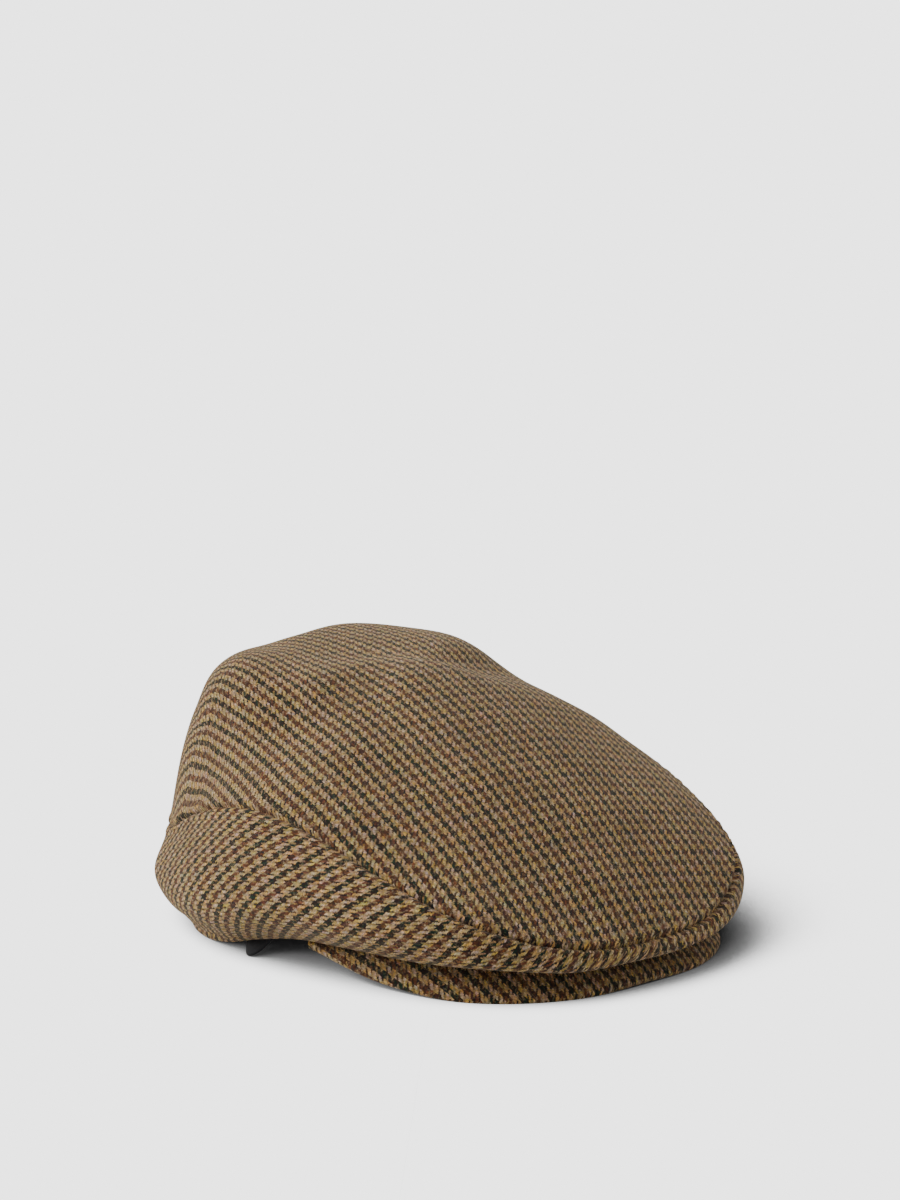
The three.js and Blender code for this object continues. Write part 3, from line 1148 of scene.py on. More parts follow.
@dataclass(frozen=True)
class WoolCheck:
    """The matt woollen cloth.

    Attributes:
        name: The material's name.
        depth: Depth of the weave's bump in millimetres.
        strength: How much of the bump shows.
        patches: How closely the lighter and darker patches lie.
        patch_fade: Values of their noise that become 0 and 1.
        patch_shade: Gain and base of their brightness.
        roughness: Roughness of the wool.
        gloss: Its specular level.
        sheen: Weight, roughness and tint of the light that its nap catches.
    """

    name: str = "wool_check"
    depth: float = 0.22
    strength: float = 0.75
    patches: float = 42.0
    patch_fade: Pair = (0.25, 0.75)
    patch_shade: Pair = (0.20, 0.86)
    roughness: float = 0.92
    gloss: float = 0.18
    sheen: tuple[float, float, Colour] = (0.22, 0.5, (0.95, 0.80, 0.60))

    def build(self, weave: bpy.types.NodeTree) -> bpy.types.Material:
        """Makes the material.

        Args:
            weave: The node group with the weave.

        Returns:
            The material.
        """
        made, sheet, shader = open_material(self.name)
        group = sheet.node("ShaderNodeGroup", node_tree=weave)
        sheet.feed(group.inputs["Cloth"], sheet.node("ShaderNodeUVMap", uv_map="cloth").outputs[0])
        space = sheet.node("ShaderNodeTexCoord").outputs["Object"]
        patch = sheet.ramp(sheet.noise(space, self.patches, 3.0), *self.patch_fade)
        gain, base = self.patch_shade
        tone = sheet.plus(base, sheet.times(patch, gain))
        sheet.feed(shader.inputs["Base Color"], sheet.toned(group.outputs["Colour"], tone))
        sheet.relief(shader, group.outputs["Height"], self.depth, self.strength)
        weight, roughness, tint = self.sheen
        shader.inputs["Roughness"].default_value = self.roughness
        shader.inputs["Specular IOR Level"].default_value = self.gloss
        shader.inputs["Sheen Weight"].default_value = weight
        shader.inputs["Sheen Roughness"].default_value = roughness
        shader.inputs["Sheen Tint"].default_value = (*tint, 1.0)
        return made


@dataclass(frozen=True)
class BlackCotton:
    """The sweatband's ribbed cotton tape, or with fine ribs a plain black satin.

    Attributes:
        name: The material's name.
        colour: Its colour.
        rib: Width of a rib in millimetres.
        roughness: How matt it is.
        sheen: Weight of the light that its fibres catch.
        grain: How closely the grains lie.
        grain_height: Their height against a rib's.
        shade: Gain and base of the painted shade, darker where the ribs and grains lie low.
        depth: Depth of a rib's bump in millimetres.
        strength: How much of the bump shows.
    """

    name: str
    colour: Colour
    rib: float
    roughness: float
    sheen: float
    grain: float = 2600.0
    grain_height: float = 0.5
    shade: Pair = (0.4, 0.7)
    depth: float = 0.15
    strength: float = 0.6

    def build(self) -> bpy.types.Material:
        """Makes the material with its ribs as a bump, and as painted shade in their grooves."""
        made, sheet, shader = open_material(self.name)
        place = sheet.node("ShaderNodeUVMap", uv_map="cloth").outputs[0]
        turn = sheet.times(sheet.parts(place)[0], 2 * math.pi / (self.rib * MM))
        rise = sheet.plus(sheet.times(sheet.math("SINE", turn), 0.5), 0.5)
        height = sheet.plus(rise, sheet.times(sheet.noise(place, self.grain), self.grain_height))
        # Painted shade: the colour is darkened in the grooves between the ribs and on the low grains
        gain, base = self.shade
        tone = sheet.plus(base, sheet.times(height, gain))
        sheet.feed(shader.inputs["Base Color"], sheet.toned(self.colour, tone))
        sheet.relief(shader, height, self.depth, self.strength)
        shader.inputs["Roughness"].default_value = self.roughness
        shader.inputs["Sheen Weight"].default_value = self.sheen
        return made


# --------------------------------------
# How the cloth was cut
# --------------------------------------


@dataclass(frozen=True)
class TopEase:
    """How steaming over a block has moved the top panel's yarns from where they lay flat.

    Places are in millimetres of flat cloth, along from the crown's middle towards the back and
    across from it towards the sides. Each reach is how far a move goes on growing from its start.

    Attributes:
        bow: How much the weft bows towards the back at the sides.
        bow_forward: What is lost of the bow with each millimetre towards the front.
        spread: How much the warp yarns draw together towards the back.
        spread_start: Place along the cloth, in front of which they don't.
        spread_reach: Reach of that.
        across: Warp yarns' spacing when flat, as a share of the formed one.
        along: The same for the weft.
        lean: How far the warp leans inwards at the sides, for each millimetre towards the back.
        lean_start: Place along the cloth where the lean starts.
        lean_reach: Reach of the lean.
        lean_sides: Places across the cloth between which the lean fades in.
        back_lean: How the lean grows behind the middle.
        back_start: Place along the cloth where that starts.
        back_reach: Reach of that.
        back_sides: Places across the cloth between which that fades in.
        skew: How much the weft is out of square.
    """

    bow: float = 0.0022
    bow_forward: float = 0.000012
    spread: float = 0.000015
    spread_start: float = -75.0
    spread_reach: float = 120.0
    across: float = 0.96
    along: float = 1.03
    lean: float = 0.11
    lean_start: float = -40.0
    lean_reach: float = 110.0
    lean_sides: Pair = (40.0, 100.0)
    back_lean: float = 0.008
    back_start: float = 12.0
    back_reach: float = 26.0
    back_sides: Pair = (76.0, 106.0)
    skew: float = 0.09

    def moved(self, flat: Grid) -> Grid:
        """Adds the ease.

        Args:
            flat: (rows, columns, 2) flat coordinates, across and along.

        Returns:
            The coordinates after it.
        """
        across, along = flat[..., 0], flat[..., 1]
        bow = np.maximum(self.bow + self.bow_forward * along, 0)
        spread = 1 + self.spread * np.clip(along - self.spread_start, 0, self.spread_reach) ** 2
        along = along - bow * across**2
        across = across * spread
        aside = np.abs(across)
        lean = self.lean * np.clip(along - self.lean_start, 0, self.lean_reach)
        lean *= smooth_share(aside, *self.lean_sides)
        back = self.back_lean * np.clip(along - self.back_start, 0, self.back_reach) ** 2
        lean += back * smooth_share(aside, *self.back_sides)
        lean *= np.sign(across)
        return np.stack([self.across * across + lean, self.along * along + self.skew * across], axis=-1)


@dataclass(frozen=True)
class SideEase:
    """How the side panels' yarns were pulled when the panels were sewn on.

    Attributes:
        bend: How much the warp bends towards the back end.
        bend_start: Distance behind the front join at which it starts to, in millimetres.
        bend_reach: How far the bend goes on growing from there.
        along: Spacing along the panel when flat, as a share of the formed one.
        skew: How much the weft is out of square.
    """

    bend: float = 0.0033
    bend_start: float = 85.0
    bend_reach: float = 80.0
    along: float = 0.94
    skew: float = 0.115

    def moved(self, coords: Grid) -> Grid:
        """Adds the ease.

        Args:
            coords: (rows, columns, 2) flat coordinates, with the panel's length along negative second ones.

        Returns:
            The coordinates after it.
        """
        behind = np.clip(-coords[..., 1] - self.bend_start, 0, self.bend_reach)
        bent = coords[..., 0] - self.bend * behind**2
        return np.stack([bent, self.along * coords[..., 1] - self.skew * coords[..., 0]], axis=-1)


class FlatPattern:
    """Cloth coordinates of a formed piece: where each point lay when the cloth was flat.

    A panel is laid flat by letting a net over it settle until its threads keep their lengths.

    Attributes:
        TOP_NET: Rows and columns of the top panel's net.
        TOP_ROUNDS: Small moves in which it is laid flat.
        TOP_MIDDLE: Distance from the axis up to which it is evened out, in millimetres.
        SIDE_NET: Rows and columns of a side panel's net.
        EDGE_STEP: Steps above the fold from which the way down over it is taken.
    """

    TOP_NET = (120, 37)
    TOP_ROUNDS = 900
    TOP_MIDDLE = 14.0
    SIDE_NET = (91, 15)
    EDGE_STEP = 0.3

    def __init__(self, crown: CrownForm) -> None:
        """Keeps the crown that the coordinates belong to."""
        self.crown = crown

    def top(self, angles: Grid, steps: Grid) -> Grid:
        """Coordinates of the top panel, with the warp from front to back along its middle.

        Args:
            angles: Rows of the panel's grid, round the cap.
            steps: Columns of the panel's grid.

        Returns:
            (rows, columns, 2) coordinates in millimetres.
        """
        rows, columns = self.TOP_NET
        ring = np.arange(0, 360, 360 / rows)
        rungs = np.linspace(SEAM, APEX, columns)
        net = self.crown.smooth(ring, rungs)
        run = row_distance(net, columns - 1)
        turn = np.radians(ring)[:, None]
        flat = np.stack([run * np.sin(turn), run * np.cos(turn)], axis=-1)
        flat = calm_middle(net, ease_flat(net, flat, self.TOP_ROUNDS), self.TOP_MIDDLE)
        flat = flat - flat[:, -1:].mean(axis=0, keepdims=True)
        return TopEase().moved(resample(flat, ring, rungs, angles, steps))

    def side(self, angles: Grid, steps: Grid) -> Grid:
        """Coordinates of a side panel, a bent strip whose warp is along the centre line in front.

        Only what is above the fold is laid flat with a net; what lies below hangs on from there.

        Args:
            angles: Rows of the panel's grid, from the front join to the back one.
            steps: Columns of the panel's grid.

        Returns:
            (rows, columns, 2) coordinates in millimetres.
        """
        rows, columns = self.SIDE_NET
        ring = np.linspace(0, 180, rows)
        rungs = np.linspace(FOLD, SEAM, columns)
        net = self.crown.smooth(ring, rungs)
        flat = settle(net, self.bent_strip(net, ring))
        flat -= flat[:1, -1:]
        way = math.atan2(flat[1, -1, 1], flat[1, -1, 0]) - math.pi
        flat = flat @ np.array([[math.cos(way), -math.sin(way)], [math.sin(way), math.cos(way)]])
        spot = np.minimum(angles, 360 - angles)
        grid = self.crown.smooth(spot, steps)
        strip = between_rows(flat, ring, spot)
        coords = between_rungs(strip, rungs, np.maximum(steps, FOLD))
        edge = coords[:, 0] - between_rungs(strip, rungs, np.array([FOLD + self.EDGE_STEP]))[:, 0]
        edge /= np.linalg.norm(edge, axis=-1, keepdims=True)
        fold = int(np.argmin(np.abs(steps - FOLD)))
        below = np.where(steps < FOLD, -row_distance(grid, fold), 0)
        coords = SideEase().moved(coords + below[..., None] * edge[:, None])
        coords[..., 0] *= np.where(angles > 180, -1.0, 1.0)[:, None]
        return coords

    def bent_strip(self, net: Grid, ring: Grid) -> Grid:
        """First guess of a flat side panel, a strip that bends as its grain turns.

        Args:
            net: (rows, columns, 3) points of the formed net.
            ring: Angles of its rows.

        Returns:
            (rows, columns, 2) flat points.
        """
        run, _ = ring_length(net[:, -1], False)
        way = np.radians(270 - self.crown.line("grain", ring)[:, 0])
        middle_way = ((way[1:] + way[:-1]) / 2)[:, None]
        moves = np.concatenate([np.cos(middle_way), np.sin(middle_way)], axis=1) * np.diff(run)[:, None]
        track = np.concatenate([np.zeros((1, 2)), np.cumsum(moves, axis=0)])
        up = np.stack([np.sin(way), -np.cos(way)], axis=-1)
        return track[:, None] + row_distance(net, net.shape[1] - 1)[..., None] * up[:, None]


# Shares of the reach: the ring that the evened middle is fitted to, and where it gives way to the net
CALM_RING = (0.7, 1.5)
CALM_FADE = (0.5, 1.2)
# A shorter thread, in millimetres, is left out of a net
SHORTEST_THREAD = 0.05
# How much further than its threads ask each point moves in a round of easing
OVERSHOOT = 1.6
# Weight that keeps a settling net where it is
ANCHOR = 1e-6


def calm_middle(net: Grid, flat: Grid, reach: float) -> Grid:
    """Evens out a flattened net round its middle, where its threads crowd together.

    Args:
        net: (rows, columns, 3) points of the formed net, whose middle is on the axis.
        flat: (rows, columns, 2) points of the flattened one.
        reach: Distance from the axis up to which it is evened out, in millimetres.

    Returns:
        The flattened net's points.
    """
    away = np.hypot(net[..., 0], net[..., 1])
    places = np.stack([net[..., 0], net[..., 1], np.ones_like(away)], axis=-1)
    around = (away > CALM_RING[0] * reach) & (away < CALM_RING[1] * reach)
    fit = np.linalg.lstsq(places[around], flat[around], rcond=None)[0]
    share = 1 - smooth_share(away, CALM_FADE[0] * reach, CALM_FADE[1] * reach)
    return flat + share[..., None] * (places @ fit - flat)


def threads(net: Grid, wrap: bool) -> tuple[Grid, Grid]:
    """The threads that join neighbours in a net.

    Args:
        net: (rows, columns, 3) points of the formed net.
        wrap: Whether the last row is followed by the first.

    Returns:
        The two ends of each thread, as indices of points, and the threads' lengths.
    """
    rows, columns = net.shape[:2]
    index = np.arange(rows * columns).reshape(rows, columns)
    pairs = []
    for around, up in ((1, 0), (0, 1), (1, 1), (1, -1), (2, 0), (0, 2)):
        last = rows if wrap else rows - around
        partner = np.roll(index, -around, axis=0)
        a = index[:last, max(0, -up) : columns - max(0, up)]
        b = partner[:last, max(0, up) : columns - max(0, -up)]
        pairs.append(np.stack([a.ravel(), b.ravel()], axis=1))
    ends = np.concatenate(pairs)
    points = net.reshape(-1, 3)
    rest = np.linalg.norm(points[ends[:, 0]] - points[ends[:, 1]], axis=1)
    kept = rest > SHORTEST_THREAD
    return ends[kept], rest[kept]


def ease_flat(net: Grid, flat: Grid, rounds: int) -> Grid:
    """Lets a flat copy of a ring-shaped net relax a little at a time, so that it never folds over.

    Args:
        net: (rows, columns, 3) points of the formed net.
        flat: (rows, columns, 2) first guess.
        rounds: How many small moves are made.

    Returns:
        The relaxed flat points.
    """
    ends, rest = threads(net, True)
    place = flat.reshape(-1, 2).copy()
    total = len(place)
    weight = np.bincount(ends.ravel(), minlength=total).clip(1)[:, None]
    for _ in range(rounds):
        gap = place[ends[:, 1]] - place[ends[:, 0]]
        size = np.linalg.norm(gap, axis=1).clip(1e-6)
        pull = gap * (0.5 * (size - rest) / size)[:, None]
        for axis in (0, 1):
            first, second = (np.bincount(ends[:, end], pull[:, axis], total) for end in (0, 1))
            place[:, axis] += OVERSHOOT * (first - second) / weight[:, 0]
    return place.reshape(flat.shape)


def settle(net: Grid, flat: Grid, rounds: int = 80) -> Grid:
    """Moves a flat copy of an open net until its threads are as long as the net's.

    Args:
        net: (rows, columns, 3) points of the formed net.
        flat: (rows, columns, 2) first guess.
        rounds: How many times all the threads are corrected together.

    Returns:
        The settled flat points.
    """
    ends, rest = threads(net, False)
    total = flat.shape[0] * flat.shape[1]
    bonds = np.zeros((total, total))
    np.add.at(bonds, (ends[:, 0], ends[:, 1]), -1.0)
    bonds += bonds.T
    bonds[np.diag_indices(total)] = -bonds.sum(axis=1) + ANCHOR
    answer = np.linalg.inv(bonds)
    place = flat.reshape(-1, 2).copy()
    for _ in range(rounds):
        gap = place[ends[:, 1]] - place[ends[:, 0]]
        wish = gap * (rest / np.linalg.norm(gap, axis=1).clip(1e-6))[:, None]
        pull = np.zeros_like(place)
        for axis in (0, 1):
            pull[:, axis] += np.bincount(ends[:, 1], wish[:, axis], total)
            pull[:, axis] -= np.bincount(ends[:, 0], wish[:, axis], total)
        place = answer @ (pull + ANCHOR * place)
    return place.reshape(flat.shape)


def between_rows(values: Grid, knots: Grid, places: Grid) -> Grid:
    """Reads a table smoothly between its rows.

    Args:
        values: (rows, columns, n) table.
        knots: Where its rows are, evenly spaced.
        places: Where to read it.

    Returns:
        (places, columns, n) values.
    """
    k = np.clip(np.searchsorted(knots, places, side="right") - 1, 0, len(knots) - 2)
    share = ((places - knots[k]) / (knots[k + 1] - knots[k]))[:, None, None]
    before, after = values[np.maximum(k - 1, 0)], values[np.minimum(k + 2, len(knots) - 1)]
    here, there = values[k], values[k + 1]
    return cubic(here, there, (there - before) / 2, (after - here) / 2, np.ones_like(share), share)


def between_rungs(values: Grid, rungs: Grid, steps: Grid) -> Grid:
    """Reads a table smoothly between its columns, whose rungs are evenly spaced."""
    turned = between_rows(np.swapaxes(values, 0, 1), rungs, steps)
    return np.swapaxes(turned, 0, 1)


def resample(values: Grid, ring: Grid, rungs: Grid, angles: Grid, steps: Grid) -> Grid:
    """Reads a ring-shaped table between its rows and columns.

    Args:
        values: (rows, columns, n) table.
        ring: Angles of its rows, less than a full turn.
        rungs: Steps of its columns.
        angles: Angles to read.
        steps: Steps to read.

    Returns:
        (angles, steps, n) values.
    """
    closed = np.concatenate([values[-2:], values, values[:3]])
    knots = np.concatenate([ring[-2:] - 360, ring, ring[:3] + 360])
    return between_rungs(between_rows(closed, knots, np.mod(angles, 360)), rungs, steps)


# --------------------------------------
# The pieces
# --------------------------------------


@dataclass(frozen=True)
class SeamSewing:
    """How the crown seam pulls the cloth in on both of its sides, in millimetres.

    Attributes:
        depth: How deep the seam lies.
        reach: Half-width of its groove.
        uneven: Share by which its depth changes along it.
        uneven_wave: Usual distance between its deeper places.
        roll: Height of the cloth's rolls beside it.
        roll_at: Distance of the rolls from the seam, and their half-width.
        pucker: Height of the small puckers.
        pucker_wave: Usual distance between puckers.
        pucker_reach: How far from the seam they run.
    """

    depth: float = 1.7
    reach: float = 0.95
    uneven: float = 0.25
    uneven_wave: float = 17.0
    roll: float = 0.45
    roll_at: Pair = (2.6, 1.5)
    pucker: float = 0.38
    pucker_wave: float = 5.5
    pucker_reach: float = 5.0

    def inward(self, away: Grid, along: Grid, total: float) -> Grid:
        """How far the cloth is drawn in.

        Args:
            away: Distance from the seam of each point.
            along: Distance along the seam of each row.
            total: The seam's whole length.

        Returns:
            Distances, positive towards the inside.
        """
        uneven = 1 + self.uneven * smooth_noise(along, self.uneven_wave, 5, total)[:, None]
        groove = self.depth * uneven * bell(away, 0, self.reach)
        roll = self.roll * bell(np.abs(away), *self.roll_at)
        ripple = smooth_noise(along, self.pucker_wave, 7, total)[:, None]
        return groove - roll + self.pucker * ripple * bell(np.abs(away), 0, self.pucker_reach)


@dataclass(frozen=True)
class HemRoll:
    """How the cloth is drawn in above the hem, which makes the hem stand out as a roll.

    Each push is a depth in millimetres, a distance above the fold and a half-width.

    Attributes:
        sides: Angles from the front between which the roll comes in.
        crease: Push inwards of the crease above the roll.
        bead: Push outwards of the roll itself.
        hollow: Push inwards of the wide hollow above both.
    """

    sides: Pair = (84.0, 98.0)
    crease: Triple = (0.9, 5.5, 1.3)
    bead: Triple = (0.6, 2.5, 1.8)
    hollow: Triple = (2.4, 12.0, 5.5)

    def inward(self, away: Grid, turned: Grid) -> Grid:
        """How far the cloth is drawn in.

        Args:
            away: Distance above the fold of each point.
            turned: Angle from the front of each row, to either side.

        Returns:
            Distances, positive towards the inside.
        """
        pushes = (self.crease, self.bead, self.hollow)
        crease, bead, hollow = (depth * bell(away, height, width) for depth, height, width in pushes)
        return smooth_share(turned, *self.sides)[:, None] * (crease - bead + hollow)


def graded(start: float, stop: float, count: int, power: float) -> Grid:
    """Numbers from start to stop that lie closer together near start."""
    return start + (stop - start) * np.linspace(0, 1, count) ** power


def joined_steps(*parts: Grid) -> Grid:
    """Runs of steps one after the other, each of which starts where the last one ends."""
    return np.concatenate([parts[0], *(part[1:] for part in parts[1:])])


@dataclass
class Crown:
    """The soft upper part: a top panel and two side panels, sewn along the crown seam.

    Attributes:
        form: The crown's outer face.
        sewing: How its seam pulls it in.
        hem: How its hem is rolled.
        rows: Rows of the finest grids, round the whole cap.
        inner_columns: Columns of the top panel's inner face.
        top_seam: How far the fine columns beside the seam reach in the top panel, in steps, how many
            they are and how much closer they lie at the seam.
        top_columns: Columns from there to the next line, and from that to the apex.
        side_hem: Steps where the runs of fine columns round the hem end, and their numbers.
        side_columns: Columns from there to the seam's.
        side_seam: The same as top_seam, in the side panels.
        under: How much thicker than its wall the top panel is, in millimetres.
    """

    form: CrownForm
    sewing: SeamSewing = SeamSewing()
    hem: HemRoll = HemRoll()
    rows: int = 540
    inner_columns: int = 16
    top_seam: tuple[float, int, float] = (0.14, 16, 1.4)
    top_columns: tuple[int, int] = (48, 50)
    side_hem: tuple[tuple[float, int], ...] = ((0.8, 12), (1.3, 16))
    side_columns: int = 34
    side_seam: tuple[float, int, float] = (0.3, 22, 1.4)
    under: float = 0.3

    def seam_run(self, angles: Grid) -> tuple[Grid, float]:
        """Measures the crown seam.

        Args:
            angles: Where, in degrees from the front.

        Returns:
            Distance along the seam at each angle, and its whole length.
        """
        ring = np.linspace(0, 360, 721)
        run, total = ring_length(self.form.smooth(ring, np.array([float(SEAM)]))[:, 0], False)
        return np.interp(angles, ring, run), total

    def draw_in(self, grid: Grid, away: Grid, angles: Grid, wrap: bool) -> Grid:
        """Adds the seam's pull.

        Args:
            grid: (rows, columns, 3) points of the outer face.
            away: (rows, columns) distances from the seam.
            angles: Each row's angle.
            wrap: Whether the last row is followed by the first.

        Returns:
            The points after it.
        """
        along, total = self.seam_run(angles)
        inward = self.sewing.inward(away, along, total)
        return grid - surface_normals(grid, wrap) * inward[..., None]

    def wall(
        self, name: str, outer: Grid, coords: Grid, inner: Grid, inner_coords: Grid, wrap: bool
    ) -> bpy.types.Object:
        """Makes one cloth piece from its outer and inner faces.

        Args:
            name: The piece's name.
            outer: Points of the outer face.
            coords: Their cloth coordinates.
            inner: Points of the inner face, with any number of columns.
            inner_coords: Their cloth coordinates.
            wrap: Whether the last row joins the first.

        Returns:
            The piece.
        """
        mesh = MeshBuilder()
        outside = mesh.add(outer, coords, wrap)
        inside = mesh.add(inner, inner_coords, wrap, flip=True)
        close_wall(mesh, outside, inside, wrap)
        if not wrap:
            for row, flip in ((0, False), (-1, True)):
                self.end_face(mesh, outside[row], inside[row], flip)
        return mesh.build(name)

    @staticmethod
    def end_face(mesh: MeshBuilder, outside: Grid, inside: Grid, flip: bool) -> None:
        """Closes a panel's end with a strip between its two faces' last rows."""
        share = np.linspace(0, len(inside) - 1, len(outside)).round().astype(int)
        mesh.face(np.stack([inside[share], outside]), flip=flip)

    def top_panel(self) -> bpy.types.Object:
        """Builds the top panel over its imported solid."""
        angles = np.arange(self.rows) * 360 / self.rows
        fine, count, power = self.top_seam
        steps = joined_steps(
            graded(SEAM, SEAM + fine, count, power),
            np.linspace(SEAM + fine, SEAM + 1, self.top_columns[0]),
            np.linspace(SEAM + 1, APEX, self.top_columns[1]),
        )
        outer = self.form.cloth(angles, steps)
        outer = self.draw_in(outer, row_distance(outer, 0), angles, True)
        outer[:, -1] = outer[:, -1].mean(axis=0)
        rungs = np.linspace(SEAM, APEX, self.inner_columns)
        inner = self.form.cloth(angles, rungs) - self.form.outward(angles, rungs) * (WALL + self.under)
        inner[:, -1] = inner[:, -1].mean(axis=0)
        pattern = FlatPattern(self.form)
        coords = pattern.top(angles, steps)
        return self.wall("crown_top", outer, coords, inner, pattern.top(angles, rungs), True)

    def side_panel(self, name: str, start: float) -> bpy.types.Object:
        """Builds one side panel.

        Args:
            name: The piece's name.
            start: Angle of its first end; it runs half-way round from there.

        Returns:
            The panel.
        """
        angles = np.linspace(start, start + 180, self.rows // 2 + 1)
        (under, under_count), (over, over_count) = self.side_hem
        fine, count, power = self.side_seam
        steps = joined_steps(
            np.linspace(0, under, under_count),
            np.linspace(under, over, over_count),
            np.linspace(over, SEAM - fine, self.side_columns),
            (2 * SEAM - graded(SEAM, SEAM + fine, count, power))[::-1],
        )
        outer = self.form.cloth(angles, steps)
        away = row_distance(outer, len(steps) - 1)
        outer = self.draw_in(outer, away, angles, False)
        above = row_distance(outer, int(np.argmin(np.abs(steps - FOLD))))
        turned = np.minimum(np.mod(angles, 360), 360 - np.mod(angles, 360))
        outer = outer - surface_normals(outer, False) * self.hem.inward(above, turned)[..., None]
        outer[..., 2] = np.maximum(outer[..., 2], 0)
        rungs = np.linspace(0, SEAM, 3 * self.inner_columns)
        inner = self.form.cloth(angles, rungs) - self.form.outward(angles, rungs) * WALL
        pattern = FlatPattern(self.form)
        coords = pattern.side(angles, steps)
        return self.wall(name, outer, coords, inner, pattern.side(angles, rungs), False)


@dataclass
class Peak:
    """The stiff peak, a bent crescent of board covered with the same cloth.

    Attributes:
        form: The crown that it lies under.
        thickness: Of the board with its cloth, in millimetres.
        tip: Angle from the front at which it ends on each side.
        clearance: Gap under the crown.
        start_out: How far outside the hem it starts.
        bend: How late it bends down towards its edge.
        slack: Room under the crown for half of its thickness, as a share of that.
        weft_scale: Spacing of its weft when flat, as a share of the formed one.
        rows: Rows from one tip to the other.
        columns: Columns of each face, how much closer they lie at the edge, and columns of the edge.
    """

    form: CrownForm
    thickness: float = 3.4
    tip: float = 64.0
    clearance: float = 0.7
    start_out: float = 1.0
    bend: float = 3.0
    slack: float = 1.1
    weft_scale: float = 0.85
    rows: int = 220
    columns: tuple[int, float, int] = (44, 1.25, 14)

    def underside(self, angles: Grid, radii: Grid) -> Grid:
        """Height of the crown's underside.

        Args:
            angles: Where it is cut, in degrees from the front.
            radii: (angles, radii) places along each cut.

        Returns:
            (angles, radii) heights.
        """
        cuts = self.form.cuts(angles, np.linspace(0, FOLD + 0.05, 64))
        return np.stack([
            np.interp(radius, np.maximum.accumulate(cut[:, 0]), cut[:, 1])
            for radius, cut in zip(radii, cuts)
        ])

    def middle(self, angles: Grid, shares: Grid) -> Grid:
        """The board's middle.

        Args:
            angles: Where it is cut, in degrees from the front.
            shares: Places from the opening (0) to the edge (1).

        Returns:
            (angles, shares, 2) radii and heights.
        """
        half = self.thickness / 2
        hem, edge = self.form.line("hem", angles), self.form.line("edge", angles)
        start, end = hem[:, :1] + self.start_out, edge[:, :1] - half
        radii = start + (end - start) * shares
        level = self.underside(angles, radii) - self.clearance - half * self.slack
        drop = level[:, -1:] - (edge[:, 1:] + half)
        return np.stack([radii, level - drop * shares**self.bend], axis=-1)

    def build(self) -> bpy.types.Object:
        """Builds the peak: upper face, rounded edge with its seam, lower face and inner end."""
        angles = np.linspace(-self.tip, self.tip, self.rows)
        count, power, nose_count = self.columns
        shares = 1 - graded(0, 1, count, power)[::-1]
        centre = self.middle(angles, shares)
        lean = np.arctan2(np.gradient(centre[..., 1], axis=1), np.gradient(centre[..., 0], axis=1))
        half = self.thickness / 2
        nose = np.linspace(np.pi / 2, -np.pi / 2, nose_count)[1:-1]
        upper = self.around(centre, lean, np.full(count, np.pi / 2), half)
        lower = self.around(centre, lean, np.full(count, -np.pi / 2), half)
        ends = np.repeat(centre[:, -1:], len(nose), axis=1)
        tip = self.around(ends, np.repeat(lean[:, -1:], len(nose), axis=1), nose, half)
        loop = np.concatenate([upper, tip, lower[:, ::-1]], axis=1)
        points = self.form.place(loop, angles)
        points[..., 2] = np.maximum(points[..., 2], 0)
        past = row_distance(points, count - 1)
        wrapped = past[:, count + len(nose) - 1 : count + len(nose)]
        reach = centre[:, -1:, 0] + half + np.where(past < wrapped, past, 2 * wrapped - past)
        turn = np.radians(angles)[:, None]
        coords = np.stack([-reach * np.sin(turn), -self.weft_scale * reach * np.cos(turn)], axis=-1)
        mesh = MeshBuilder()
        index = mesh.add(points, coords, flip=True)
        mesh.face(np.stack([index[:, -1], index[:, 0]], axis=1), flip=True)
        half_count = index.shape[1] // 2
        for row, flip in ((0, False), (-1, True)):
            ends = index[row]
            mesh.face(np.stack([ends[:half_count], ends[::-1][:half_count]]), flip=not flip)
        return mesh.build("peak_cover")

    @staticmethod
    def around(centre: Grid, lean: Grid, turn: Grid, half: float) -> Grid:
        """Points at half the thickness from the board's middle, in a direction turned from its lean."""
        way = lean + turn
        return centre + half * np.stack([np.cos(way), np.sin(way)], axis=-1)


@dataclass(frozen=True)
class BandEnd:
    """The sewn end of the sweatband that hangs below the hem.

    Attributes:
        angle: Where it hangs, in degrees from the front.
        half_width: Half of its width, in degrees.
        low: Height of its tip over the floor, in millimetres.
        out: How far its tip is pushed outwards, in millimetres.
        bend: Height under which it is pushed outwards, in millimetres.
    """

    angle: float = 83.0
    half_width: float = 8.0
    low: float = 0.4
    out: float = 7.0
    bend: float = 9.0

    def hang(self, angles: Grid) -> Grid:
        """Share of the end at each angle, from 0 away from it to 1 in its middle."""
        away = np.abs(angles - self.angle) / self.half_width
        return np.where(away < 1, np.cos(np.minimum(away, 1) * np.pi / 2) ** 2, 0)


